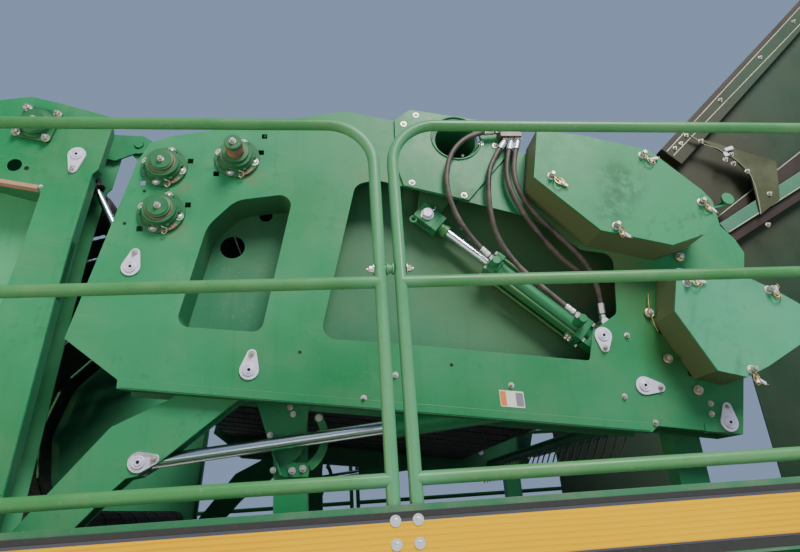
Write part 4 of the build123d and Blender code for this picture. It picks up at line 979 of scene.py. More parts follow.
def run(tree: Tree, name: str, points: list[Spot], vectors: dict[str, list[Spot]],
        values: dict[str, object], finish: str, body: str) -> bpy.types.Object:
    """Evaluate a tree on points and keep the result as a plain piece.

    Args:
        tree: The tree.
        name: The piece's name.
        points: The points, in millimetres.
        vectors: Vector attributes of the points.
        values: The tree's named inputs.
        finish: Key of the finish.
        body: The body it rides on.

    Returns:
        The piece.
    """
    mesh = bpy.data.meshes.new(name + "_points")
    mesh.from_pydata([[MM * c for c in p] for p in points], [], [])
    for key, rows in vectors.items():
        attribute = mesh.attributes.new(key, "FLOAT_VECTOR", "POINT")
        attribute.data.foreach_set("vector", [c for row in rows for c in row])
    holder = placed(name + "_points", mesh)
    modifier = holder.modifiers.new("repeat", "NODES")
    modifier.node_group = tree.tree
    for key, value in values.items():
        modifier[tree.keys[key]] = value
    modifier[tree.keys["Material"]] = material(finish)
    ready = holder.evaluated_get(bpy.context.evaluated_depsgraph_get())
    result = bpy.data.meshes.new_from_object(ready)
    result.name = name
    for key in vectors:
        if key in result.attributes:
            result.attributes.remove(result.attributes[key])
    holder.modifiers.remove(modifier)
    bpy.data.objects.remove(holder)
    return dress(result, name, finish, body, sharp=32)


HEAD_TREES = {Head.HEX: hex_screw_tree, Head.DOME: dome_screw_tree}
SCREW_SEED = 3


def screws(name: str, points: list[Spot], way: Way, across: float, height: float | None = None,
           washer: float | None = None, head: Head = Head.HEX, finish: str = "screw",
           body: str = "frame", both: bool = False) -> bpy.types.Object:
    """Screws with their heads at points.

    Args:
        name: The piece's name.
        points: Where each washer sits.
        way: Where the heads face.
        across: Size across the head.
        height: Height of the head.
        washer: Radius of the washer.
        head: Kind of head.
        finish: Key of the finish.
        body: The body that carries them.
        both: Whether the left side has them too.

    Returns:
        The piece.
    """
    spots = list(points)
    facing = [way.value] * len(spots)
    if both:
        spots += [(x, -y, z) for x, y, z in points]
        facing += [(a, -b, c) for a, b, c in facing]
    values = {"Across": across * MM, "Height": (height or 0.62 * across) * MM,
              "Washer": (washer or 0.85 * across) * MM, "Washer Thickness": 0.13 * across * MM,
              "Seed": SCREW_SEED}
    return run(HEAD_TREES[head](), name, spots, {"facing": facing}, values, finish, body)


def copies(name: str, part: Work, points: list[Spot], turned: list[Spot], finish: str,
           body: str = "frame") -> bpy.types.Object:
    """A small part repeated at points, each turned by its own angles.

    Args:
        name: The piece's name.
        part: The part, round its own zero point.
        points: Where it is repeated.
        turned: The angles at each point.
        finish: Key of the finish.
        body: The body that carries them.

    Returns:
        The piece.
    """
    holder = placed(name + "_part", part.mesh(name + "_part"))
    made = run(copies_tree(), name, points, {"turned": turned}, {"Part": holder}, finish, body)
    bpy.data.objects.remove(holder)
    return made


# ---------------------------------------------------------------- paths


def towards(start: Point, end: Point) -> tuple[float, float, float]:
    """Unit direction between two side points, and their distance.

    Args:
        start: The first point.
        end: The second point.

    Returns:
        The direction's two parts and the distance.
    """
    x, z = end[0] - start[0], end[1] - start[1]
    length = math.hypot(x, z)
    return x / length, z / length, length


def bar_outline(start: Point, end: Point, low: float, high: float, half: float) -> list[Point]:
    """Rectangle along the line between two side points.

    Args:
        start: Where the line starts.
        end: Where it points to.
        low: Distance along it where the rectangle starts.
        high: Distance where it ends.
        half: Half its width.

    Returns:
        Its corners.
    """
    x, z, _ = towards(start, end)
    return [(start[0] + x * s - z * t, start[1] + z * s + x * t)
            for s, t in ((low, -half), (high, -half), (high, half), (low, half))]


def on_circle(centre: Point, radius: float, angle: float) -> Point:
    """Side point on a circle."""
    return centre[0] + radius * math.cos(angle), centre[1] + radius * math.sin(angle)


def turned_corners(centre: Point, angle: float, corners: list[Point]) -> list[Point]:
    """Corners about a side point, turned by an angle."""
    c, s = math.cos(angle), math.sin(angle)
    return [(centre[0] + a * c - b * s, centre[1] + a * s + b * c) for a, b in corners]


def strap_outline(first: Point, first_r: float, second: Point, second_r: float,
                  turns: int = 14) -> list[Point]:
    """Outline drawn tight round two circles.

    Args:
        first: Centre of the first circle.
        first_r: Its radius.
        second: Centre of the second circle.
        second_r: Its radius.
        turns: Steps round each circle.

    Returns:
        The outline's corners.
    """
    x, z, length = towards(first, second)
    heading = math.atan2(z, x)
    lean = math.acos((first_r - second_r) / length)
    corners = []
    for centre, radius, low, high in ((second, second_r, -lean, lean),
                                      (first, first_r, lean, 2 * math.pi - lean)):
        for k in range(turns + 1):
            corners.append(on_circle(centre, radius, heading + low + (high - low) * k / turns))
    return corners


def soft_outline(corners: list[Point], radius: float, turns: int = 5) -> list[Point]:
    """Outline with each corner rounded.

    Args:
        corners: The corners.
        radius: The rounding.
        turns: Steps round each corner.

    Returns:
        The new corners.
    """
    out = []
    count = len(corners)
    for k, corner in enumerate(corners):
        here = Vector(corner)
        back = Vector(corners[k - 1]) - here
        ahead = Vector(corners[(k + 1) % count]) - here
        half = back.angle(ahead) / 2
        trim = min(radius / math.tan(half), 0.45 * back.length, 0.45 * ahead.length)
        start, end = here + back.normalized() * trim, here + ahead.normalized() * trim
        for j in range(turns + 1):
            t = j / turns
            spot = start * (1 - t) ** 2 + here * 2 * t * (1 - t) + end * t ** 2
            out.append((spot.x, spot.y))
    return out


def belt_path(centres: tuple[Point, ...], radius: float) -> list[Point]:
    """Closed loop round rollers in a row, out along one side and back along the other.

    Args:
        centres: The rollers' centres, in order.
        radius: The loop's distance from each centre.

    Returns:
        The loop's corners, with arcs round the rollers.
    """
    order = centres + centres[-2:0:-1]
    count = len(order)
    corners: list[Point] = []
    for k, here in enumerate(order):
        ix, iz, _ = towards(order[k - 1], here)
        ox, oz, _ = towards(here, order[(k + 1) % count])
        turn = math.atan2(ix * oz - iz * ox, ix * ox + iz * oz)
        if abs(abs(turn) - math.pi) < 1e-6:
            turn = math.pi
        start = math.atan2(-ix, iz)
        if turn > 0:
            steps = max(2, int(turn / 0.2))
            for j in range(steps + 1):
                corners.append(on_circle(here, radius, start + turn * j / steps))
        else:
            corners.append(on_circle(here, radius / math.cos(turn / 2), start + turn / 2))
    return corners


def spaced(corners: list[Point], pitch: float) -> tuple[list[Point], list[float]]:
    """Points at even spacing round a closed loop.

    Args:
        corners: The loop's corners.
        pitch: Spacing wanted.

    Returns:
        The points, and the heading at each.
    """
    loop = corners + corners[:1]
    runs = [math.dist(a, b) for a, b in zip(loop, loop[1:])]
    total = sum(runs)
    count = round(total / pitch)
    step = total / count
    points, headings = [], []
    k, before = 0, 0.0
    for n in range(count):
        goal = n * step
        while before + runs[k] < goal:
            before += runs[k]
            k += 1
        share = (goal - before) / runs[k] if runs[k] else 0.0
        a, b = loop[k], loop[k + 1]
        points.append((a[0] + (b[0] - a[0]) * share, a[1] + (b[1] - a[1]) * share))
        headings.append(math.atan2(b[1] - a[1], b[0] - a[0]))
    return points, headings


# ---------------------------------------------------------------- the machine


@dataclass
class Viewpoint:
    """Camera low on the right side, looking up and slightly forward."""

    place: Spot = (-0.400, -3.450, 0.420)
    turn: float = 7.34
    rise: float = 21.74
    roll: float = 4.10
    lens: float = 26.01

    def build(self) -> None:
        """Make the camera."""
        yaw, pitch, roll = (math.radians(a) for a in (self.turn, self.rise, self.roll))
        ahead = Vector((math.sin(yaw) * math.cos(pitch), math.cos(yaw) * math.cos(pitch),
                        math.sin(pitch)))
        level = Vector((math.cos(yaw), -math.sin(yaw), 0))
        upright = level.cross(ahead)
        right = math.cos(roll) * level - math.sin(roll) * upright
        up = math.sin(roll) * level + math.cos(roll) * upright
        data = bpy.data.cameras.new("viewpoint")
        data.lens = self.lens
        data.sensor_width = 36
        data.sensor_fit = "HORIZONTAL"
        data.clip_end = 200
        camera = placed("viewpoint", data)
        turned = Matrix((right, up, -ahead)).transposed().to_4x4()
        camera.matrix_world = Matrix.Translation(self.place) @ turned
        bpy.context.scene.camera = camera


@dataclass
class Hoses:
    """The four hydraulic hoses of the belt tensioner, with crimped ferrules and nuts."""

    radius: float = 11
    ferrule: float = 46
    nut: float = 29
    runs: tuple[tuple[str, float, tuple[Spot, ...]], ...] = (
        ("hose_loop", 0.745, (
            (310, -1440, 1886), (215, -1440, 1880), (108, -1440, 1785), (72, -1438, 1640),
            (100, -1425, 1498), (170, -1400, 1385), (232, -1385, 1325))),
        ("hose_base", 0.896, (
            (350, -1436, 1838), (275, -1436, 1735), (250, -1436, 1625), (248, -1420, 1495),
            (275, -1400, 1381), (345, -1392, 1268), (455, -1392, 1155), (540, -1392, 1072))),
        ("hose_front", 0.923, (
            (378, -1436, 1838), (341, -1436, 1735), (336, -1434, 1620), (382, -1428, 1500),
            (455, -1410, 1385), (560, -1370, 1285), (690, -1330, 1228), (830, -1320, 1215))),
        ("hose_down", 0.872, (
            (406, -1440, 1838), (371, -1440, 1735), (366, -1438, 1622), (420, -1434, 1500),
            (525, -1420, 1388), (622, -1398, 1290), (668, -1372, 1185), (668, -1355, 1075))),
    )

    def build(self) -> None:
        """Make each hose and its two fittings."""
        for name, length, points in self.runs:
            data = bpy.data.curves.new(name + "_line", "CURVE")
            data.dimensions = "3D"
            spline = data.splines.new("NURBS")
            spline.points.add(len(points) - 1)
            for spot, (x, y, z) in zip(spline.points, points):
                spot.co = (x * MM, y * MM, z * MM, 1)
            spline.order_u = 3
            spline.use_endpoint_u = True
            data.resolution_u = 16
            hose = placed(name + "_line", data)
            line = bpy.data.meshes.new_from_object(hose)
            route = [v.co / MM for v in line.vertices]
            bpy.data.meshes.remove(line)
            data.bevel_depth = self.radius * MM
            data.bevel_resolution = 6
            data.use_fill_caps = True
            data.materials.append(material("hose"))
            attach(hose, "frame")
            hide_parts(name)
            fitting = self.fittings(name, route)
            [c * MM for c in points[0]]
            LOG.info("hose %s, %d points", name, len(points))

    def fittings(self, name: str, route: list[Vector]) -> bpy.types.Object:
        """Ferrule and nut at each end of a hose.

        Args:
            name: The hose's name.
            route: Points along its middle line.

        Returns:
            The piece.
        """
        work = Work()
        for end, inner in ((route[0], route[4]), (route[-1], route[-5])):
            way = (end - inner).normalized()
            r, k = self.radius, self.ferrule
            work.lathe([(-k, r + 0.5), (-k, r + 2.6), (-k + 6, r + 3.6), (-k + 10, r + 2.4),
                        (-k + 14, r + 3.4), (-k + 18, r + 2.4), (-k + 22, r + 3.4),
                        (-k + 26, r + 2.4), (-k + 30, r + 3.4), (-6, r + 3.4), (-3, r - 1),
                        (2, r - 1)], end, way, 18)
            work.lathe([(2, r + 1.4), (4, r + 3.4), (self.nut - 13, r + 3.4),
                        (self.nut - 11, r + 1.6)], end, way, 6)
            work.lathe([(self.nut - 11, r - 1), (self.nut, r - 1)], end, way, 16)
        return work.piece(name + "_ends", "zinc", sharp=28)


@dataclass
class Sheets:
    """Sheet-metal sides of the front frame: skins, walls, edges, plates and small screws."""

    screws: tuple[Point, ...] = (
        (-178, 861), (243, 804), (-295, 784), (666, 743), (763, 643), (996, 701), (989, 663),
        (727, 975))
    pivot_screws: tuple[Point, ...] = (
        (-75, 1942), (-18, 1989), (255, 1848), (315, 1834), (-60, 1652), (152, 1591))
    dots: tuple[Point, ...] = (
        (-658, 1883), (-1113, 1626), (-1172, 1486), (-517, 959), (30, 889), (-82, 1800),
        (170, 1790))
    squares: tuple[Point, ...] = ((870, 987), (948, 819), (920, 1385), (640, 1385))
    label: tuple[Point, Point] = ((195, 731), (284, 790))

    def build(self) -> None:
        """Make every piece of the sides."""
        for node, bevel in (("skin_right", 1.2), ("skin_left", 1.2), ("pivot_plates", 2)):
            rounded_copy(node, "sheet", bevel=bevel)
        for node in ("lips_right", "lips_left", "window_rims", "walls", "cross_tubes",
                     "top_sheet"):
            rounded_copy(node, "inner", bevel=1)
        self.blank_label()
        # Black discs and squares on the skin: painted shade inside punched holes.
        work = Work()
        for x, z in self.dots:
            work.disc((x, z), [(SKIN, 6), (SKIN + 0.5, 6.5), (SKIN + 0.6, 5)], 16)
        for x, z in self.squares:
            work.prism([(x - 10, z - 12), (x + 12, z - 10), (x + 10, z + 12), (x - 12, z + 10)],
                       SKIN, SKIN + 0.5)
        work.both_sides().piece("punched_holes", "black", bevel=0.2)
        work = Work()
        work.prism(soft_outline([(946, 603), (1000, 596), (1004, 626), (950, 633)], 4),
                   SKIN, SKIN + 4)
        work.both_sides().piece("corner_tab", "sheet", bevel=0.8)
        screws("skin_screws", [(x, -SKIN, z) for x, z in self.screws], Way.RIGHT, 13, both=True)
        screws("pivot_screws", [(x, -SKIN - 10, z) for x, z in self.pivot_screws], Way.RIGHT, 18,
               head=Head.DOME, height=8, washer=13, both=True)

    def blank_label(self) -> None:
        """Small blank plate with two plain colour fields, on the right side only."""
        (x0, z0), (x1, z1) = self.label
        slope, high = -0.13, z1 - z0

        def band(start: float, end: float, near: float, far: float) -> list[Point]:
            """Corners of an upright band of the plate.

            Args:
                start: Share of the plate's width where the band starts.
                end: Share where it ends.
                near: Height over the lower edge where it starts.
                far: Height where it ends.

            Returns:
                The corners.
            """
            left, right = x0 + (x1 - x0) * start, x0 + (x1 - x0) * end
            return [(left, z0 + near + slope * (left - x0)),
                    (right, z0 + near + slope * (right - x0)),
                    (right, z0 + far + slope * (right - x0)),
                    (left, z0 + far + slope * (left - x0))]

        for name, finish, start, end, margin, proud in (
                ("label_plate", "blank", 0.0, 1.0, 0.0, 1.0),
                ("label_left", "amber", 0.02, 0.26, 3.0, 1.3),
                ("label_right", "lilac", 0.66, 0.97, 5.0, 1.3)):
            work = Work()
            corners = band(start, end, margin, high - margin)
            work.prism(soft_outline(corners, 3), SKIN, SKIN + proud)
            work.piece(name, finish, bevel=0.3)


@dataclass
class Bearings:
    """Flanged roller bearings: four screws, stepped housing, cap and centre screw."""

    screw_circle: float = 73
    first_angle: float = -18
    centres: tuple[tuple[Point, float], ...] = (
        ((-1044, 1731), 0), ((-1039, 1527), 0), ((-764, 1771), 60))

    def build(self) -> None:
        """Make the housings, caps and screws."""
        housing, collar, caps, patches, clips = (Work() for _ in range(5))
        bolts, tips = [], []
        f = SKIN
        for (x, z), extra in self.centres:
            housing.disc((x, z), [(f, 87), (f + 1, 88), (f + 12, 88), (f + 14, 86), (f + 14.2, 72),
                                  (f + 17, 70), (f + 30, 68), (f + 32, 66.5), (f + 32.2, 60),
                                  (f + 36, 60), (f + 36.3, 64.5), (f + 44, 63), (f + 46, 61.5),
                                  (f + 46.2, 47)], 56)
            for k in range(6):
                a = math.radians(self.first_angle + 15 + 60 * k)
                housing.prism(turned_corners(on_circle((x, z), 69, a), a,
                                             [(-6, -8), (6, -6), (6, 6), (-6, 8)]), f + 14, f + 30)
            if extra:
                housing.disc((x, z), [(f + 46, 50), (f + 57, 50), (f + 58, 48)], 40)
                collar.disc((x, z), [(f + 58, 33), (f + 59, 34), (f + 74, 34), (f + 75, 32.5),
                                     (f + 77, 32.5), (f + 78, 34), (f + 108, 34),
                                     (f + 109, 31)], 36)
                caps.disc((x, z), [(f + 109, 30), (f + 109.5, 34), (f + 121, 34),
                                   (f + 124, 31)], 36)
                tips.append((x, -f - 124, z))
            else:
                collar.disc((x, z), [(f + 46, 50.5), (f + 48, 50.5), (f + 49, 49)], 48)
                caps.disc((x, z), [(f + 46, 46.5), (f + 56, 46.5), (f + 58, 45), (f + 60, 40),
                                   (f + 61, 39.5), (f + 62, 40), (f + 64, 38)], 48)
                tips.append((x, -f - 64, z))
            a = math.radians(-62)
            for turn, away, big in ((0, 78, 9), (0.14, 79, 8), (-0.16, 80, 7), (0.3, 80, 6),
                                    (-0.34, 81, 5)):
                patches.disc(on_circle((x, z), away, a + turn),
                             [(f + 14, big), (f + 14.6, big - 1)], 9)
            clips.pipe([(x + r * math.cos(b), -f - y, z + r * math.sin(b))
                        for r, b, y in ((60, -1.45, 30), (70, -1.40, 24), (78, -1.20, 20),
                                        (92, -1.25, 18), (98, -1.38, 16), (90, -1.45, 18))], 2.2)
            for k in range(4):
                sx, sz = on_circle((x, z), self.screw_circle,
                                   math.radians(self.first_angle + 90 * k))
                bolts.append((sx, -f - 14, sz))
        housing.both_sides().piece("bearing_housings", "cast", sharp=28, replaces=("bearings",))
        for work, name, finish in ((collar, "bearing_rings", "rusty"),
                                   (caps, "bearing_caps", "cast"),
                                   (patches, "bearing_rust", "rusty")):
            work.both_sides().piece(name, finish, sharp=28)
        clips.both_sides().piece("bearing_clips", "screw")
        screws("bearing_screws", bolts, Way.RIGHT, 22, height=9, washer=17, head=Head.DOME,
               both=True)
        screws("bearing_centre_screws", tips, Way.RIGHT, 17, washer=13, both=True)


@dataclass
class PinPlates:
    """Pins held by keyhole plates, each with a screw at its small end."""

    big: float = 34
    small: float = 17
    thick: float = 6
    plates: tuple[tuple[Point, Point], ...] = (
        ((-1131, 1304), (-1120, 1361)), ((-693, 900), (-685, 958)), ((630, 977), (627, 929)),
        ((752, 779), (812, 769)), ((1049, 629), (1056, 685)))
    cradle: tuple[Point, Point] = ((-1051, 615), (-1001, 622))
    gate: tuple[Point, Point] = ((-1382, 1790), (-1388, 1726))

    def one(self, work: Work, big: Point, small: Point, face: float) -> None:
        """One plate with its raised ring and pin end.

        Args:
            work: Work that takes the plate.
            big: Centre of its big end.
            small: Centre of its small end.
            face: What it lies on.
        """
        work.prism(strap_outline(big, self.big, small, self.small), face, face + self.thick)
        top = face + self.thick
        work.disc(big, [(top - 1, 22), (top + 3.5, 22), (top + 5, 20.5), (top + 5.2, 17),
                        (top + 3.2, 16.5), (top + 3.2, 14), (top + 6, 13.5), (top + 7, 12),
                        (top + 7, 6.2), (top + 2, 6)], 32)

    def build(self) -> None:
        """Make the plates of the front frame, cradle and gate, with the front pins."""
        front = Work()
        for big, _ in self.plates:
            front.disc(big, [(WALL - 6, 18), (WALL - 4, 20), (SKIN, 20)], 28)
        front.disc((5, 1543), [(1266, 18), (1268, 20), (1346, 20), (1348, 18)], 28)
        for start, body, plates, face, work, replaces in (
                ("pin", "frame", self.plates, SKIN, front, ("pins",)),
                ("cradle", "cradle", [self.cradle], CRADLE_FACE, Work(), ()),
                ("gate", "gate", [self.gate], SKIN, Work(), ("gate_plates",))):
            top = face + self.thick
            # Black discs at the pin ends: painted shade inside the grease holes.
            holes = Work()
            for big, small in plates:
                self.one(work, big, small, face)
                holes.disc(big, [(top + 2, 5.9), (top + 3, 5.9), (top + 3.4, 4)], 16)
            prefix = "" if body == "frame" else start + "_"
            work.both_sides().piece(prefix + "pin_plates", "plate", body=body, bevel=1, sharp=28,
                                    replaces=replaces)
            holes.both_sides().piece(start + "_grease_holes", "black", body=body, sharp=28)
            screws(start + "_plate_screws", [(x, -top, z) for _, (x, z) in plates], Way.RIGHT, 14,
                   both=True, body=body)


@dataclass
class BeltTensioner:
    """Torsion tube, levers and the two tensioner cylinders."""

    lever_pin: Point = (5, 1543)
    base_pin: Point = (630, 977)
    plane: float = 1310
    barrel: float = 44
    tie_reach: float = 39
    head_half: float = 49

    def spot(self, distance: float) -> Spot:
        """Point on the cylinder's axis."""
        x, z, _ = towards(self.lever_pin, self.base_pin)
        return (self.lever_pin[0] + x * distance, -self.plane, self.lever_pin[1] + z * distance)

    def build(self) -> None:
        """Make the cylinders' heads, clevises, plugs and pin."""
        x, z, long = towards(self.lever_pin, self.base_pin)
        way = Vector((x, 0, z))
        rounded_copy("torsion_tube", "inner", bevel=1.5)
        work = Work()
        cheek = soft_outline(bar_outline(self.lever_pin, self.base_pin, -44, 51, 40), 7)
        for near, far in ((-31, -12), (12, 31)):
            work.prism(cheek, self.plane + near, self.plane + far)
        work.prism(bar_outline(self.lever_pin, self.base_pin, 49, 74, 40),
                   self.plane - 31, self.plane + 31)
        work.both_sides().piece("rod_clevis", "sheet", bevel=2.5)
        work = Work()
        work.lathe([(73, 21), (74, 24), (90, 24), (92, 27), (110, 27), (112, 24), (113, 19.5)],
                   self.spot(0), way, 32)
        work.both_sides().piece("rod_gland", "rail", sharp=28)
        rod = Work()
        rod.lathe([(112, 19), (330, 19)], self.spot(0), way, 32)
        rod.both_sides().piece("bright_rod", "chrome", replaces=("tension_rods",))
        eye = Work()
        foot = (-54, -self.plane - 21, 1525)
        eye.ring(foot, Vector((0, -1, 0)), 13, 5, 24, 10)
        eye.pipe([(-42, -self.plane - 21, 1530), (-22, -self.plane - 20, 1537)], 5, 10)
        eye.both_sides().piece("lever_eye", "sheet")
        work = Work()
        b = self.barrel
        work.lathe([(318, 24), (319, b - 8), (324, b - 4), (334, b - 4), (335, b + 2),
                    (338, b + 4), (372, b + 4), (375, b + 1), (376, b - 2), (388, b - 2),
                    (389, b - 3), (long - 74, b - 3), (long - 73, b + 1), (long - 46, b + 1),
                    (long - 40, b - 4), (long - 30, 34)], self.spot(0), way, 40)
        end = bar_outline(self.lever_pin, self.base_pin, long - 60, long + 42, 40)
        work.prism(soft_outline(end, 38, 8), self.plane - 27, self.plane + 27)
        for port, reach in (((254, 1304), 78), ((563, 1049), 84)):
            work.disc(port, [(self.plane + 38, 22), (self.plane + reach, 20),
                             (self.plane + reach + 14, 16)], 24)
        work.both_sides().piece("tensioner_barrel", "sheet", bevel=1,
                                replaces=("tension_barrels",))
        self.tie_rods(long)
        plugs = Work()
        for distance in (long - 96, long - 82):
            at = self.spot(distance)
            foot = (at[0] + z * (b - 4), at[1], at[2] - x * (b - 4))
            plugs.lathe([(0, 13), (10, 13), (11, 9), (22, 9), (24, 7)], foot,
                        Vector((z, 0, -x)), 6)
        plugs.both_sides().piece("barrel_plugs", "zinc", sharp=28)
        pin = Work()
        pin.disc(self.lever_pin, [(self.plane + 31, 27), (self.plane + 34, 27),
                                  (self.plane + 34.5, 21), (self.plane + 48, 21),
                                  (self.plane + 51, 18)], 28)
        pin.both_sides().piece("lever_pin_end", "plate", sharp=28)
        clip = Work()
        px, pz = self.lever_pin
        for x0, z0, x1, z1 in ((-30, -12, 2, 2), (2, 2, 30, 14), (-30, -12, -26, -22),
                               (30, 14, 34, 26)):
            clip.pipe([(px + x0, -self.plane - 44, pz + z0),
                       (px + x1, -self.plane - 44, pz + z1)], 2.4)
        clip.both_sides().piece("split_pin", "screw")

    def tie_rods(self, long: float) -> None:
        """Square heads of the barrel with the four tie rods and their nuts.

        Args:
            long: Distance between the cylinder's two pins.
        """
        x, z, _ = towards(self.lever_pin, self.base_pin)
        heads, rods, nuts = Work(), Work(), Work()
        reach, half = self.tie_reach, self.head_half
        ends = ((330, 366), (long - 84, long - 48))
        for near, far in ends:
            heads.prism(bar_outline(self.lever_pin, self.base_pin, near, far, half),
                        self.plane - half, self.plane + half)
        for across, out in ((-1, -1), (-1, 1), (1, -1), (1, 1)):
            shift = Vector((-z * across * reach, -out * reach, x * across * reach))
            spots = [Vector(self.spot(d)) + shift
                     for d in (ends[0][1] - 2, ends[1][0] + 2, ends[0][0], ends[1][1])]
            rods.rod(spots[0], spots[1], 6, 10)
            nuts.rod(spots[2], spots[2] - Vector((x, 0, z)) * 9, 9.5, 6)
            nuts.rod(spots[3], spots[3] + Vector((x, 0, z)) * 9, 9.5, 6)
        heads.both_sides().piece("barrel_heads", "sheet", bevel=3)
        rods.both_sides().piece("barrel_tie_rods", "rail", sharp=40)
        nuts.both_sides().piece("barrel_tie_nuts", "screw", sharp=28)


@dataclass
class ChainDrives:
    """Finishes and hub screws of the toothed sprockets and roller chains under the two covers."""

    face: float = 1470
    hub_screws: int = 3
    hubs: tuple[Point, ...] = ((915, 1500), (1125, 960), (615.6, 1578.5), (972, 1034))

    def build(self) -> None:
        """Give the sprockets and chains their finish and screw the hubs."""
        rounded_copy("sprockets", "steel", bevel=0.6, sharp=30)
        show("chains", "oily")
        spots = []
        for x, z in self.hubs:
            for k in range(self.hub_screws):
                sx, sz = on_circle((x, z), 27, 2 * math.pi * k / self.hub_screws + 0.4)
                spots.append((sx, -self.face, sz))
        screws("hub_screws", spots, Way.RIGHT, 11, washer=8)


@dataclass
class Covers:
    """The two sheet covers over the chains, each held by studs with nuts and spring rings."""

    face: float = 1550
    upper: tuple[tuple[Point, Point, float], ...] = (
        ((475, 1594), (502, 1567), -35), ((879, 1692), (906, 1664), 20),
        ((1077, 1471), (1099, 1446), -40), ((697, 1370), (712, 1340), -35))
    lower: tuple[tuple[Point, Point, float], ...] = (
        ((925, 1128), (960, 1128), 0), ((1247, 1091), (1270, 1070), 75),
        ((1082, 791), (1086, 756), -30))
    tabs: tuple[Point, ...] = ((836, 1060), (868, 876), (957, 752), (1026, 1296))
    aims: tuple[Point, ...] = ((905, 1066), (950, 905), (1015, 800), (1014, 1345))

    def build(self) -> None:
        """Make the covers and their fastenings."""
        rounded_copy("cover_upper", "cover", body="upper_cover", bevel=2.2, sharp=9)
        # The lower cover takes the lighter, painted-light copy of the cover paint.
        rounded_copy("cover_lower", "lit_cover", body="lower_cover", bevel=2.2, sharp=9)
        rounded_copy("cover_studs", "screw", bevel=0.6)
        for name, latches, body in (("upper", self.upper, "upper_cover"),
                                    ("lower", self.lower, "lower_cover")):
            washers, wire, tongues = Work(), Work(), Work()
            for k, ((x, z), (rx, rz), lean) in enumerate(latches):
                washers.disc((x, z), [(self.face, 9.2), (self.face, 16), (self.face + 3, 16),
                                      (self.face + 3.4, 15), (self.face + 3.4, 9.2)], 28)
                self.latch(wire, tongues, (x, z), (rx, rz), lean, k)
            washers.piece(name + "_cover_washers", "plate", body=body, sharp=28)
            wire.piece(name + "_cover_rings", "brass", body=body)
            tongues.piece(name + "_cover_clips", "plate", body=body, bevel=0.6)
            screws(name + "_cover_nuts", [(x, -self.face - 3.4, z) for (x, z), _, _ in latches],
                   Way.RIGHT, 20, washer=13, body=body)
        self.side_tabs()

    def latch(self, wire: Work, tongues: Work, stud: Point, ring: Point, lean: float,
              number: int) -> None:
        """Spring ring hung on a stud, with its pin and a flat clip.

        Args:
            wire: Work for the wire pieces.
            tongues: Work for the flat clips.
            stud: The stud's centre.
            ring: The ring's centre.
            lean: Direction of the clip from the ring, in degrees.
            number: Which latch it is, for its own tilt.
        """
        (x, z), (rx, rz) = stud, ring
        f = -self.face
        tilt = Vector((0.25 + 0.15 * number, -1, 0.35 - 0.2 * number))
        wire.ring((rx, f - 10, rz), tilt, 21, 2.3)
        wire.ring((rx, f - 7, rz), Vector((-0.2, -1, 0.1)), 11, 1.8, 20)
        wire.pipe([(x, f - 7, z), ((x + rx) / 2, f - 9, (z + rz) / 2), (rx, f - 10, rz)], 2.4)
        a = math.radians(lean)
        near, tip = on_circle(ring, 8, a), on_circle(ring, 32, a)
        tongues.prism(strap_outline(near, 9, tip, 6, 8), self.face + 5, self.face + 8)
        (sx, sz), (tx, tz) = on_circle(tip, 8, a - math.pi / 2), on_circle(tip, 12, a)
        wire.pipe([(near[0], f - 9, near[1]), (sx, f - 12, sz), (tx, f - 9, tz)], 1.8)

    def side_tabs(self) -> None:
        """Tabs on the skin beside the covers, each with its screw, and the wire between two."""
        work = Work()
        for tab, aim in zip(self.tabs, self.aims):
            work.prism(strap_outline(tab, 17, aim, 15, 8), SKIN, SKIN + 5)
        work.piece("cover_tabs", "sheet", bevel=1)
        screws("cover_tab_screws", [(x, -SKIN - 5, z) for x, z in self.tabs], Way.RIGHT, 22,
               height=13, washer=16)
        rings = Work()
        for x, z in self.tabs:
            rings.ring((x, -SKIN - 7, z), Vector((0, -1, 0)), 17.5, 2, 28)
        rings.pipe([(852, -SKIN - 3, 1140), (840, -SKIN - 12, 1110), (836, -SKIN - 14, 1078),
                    (836, -SKIN - 14, 1050), (842, -SKIN - 12, 1012), (856, -SKIN - 3, 985)], 1.8)
        rings.piece("cover_tab_rings", "brass")


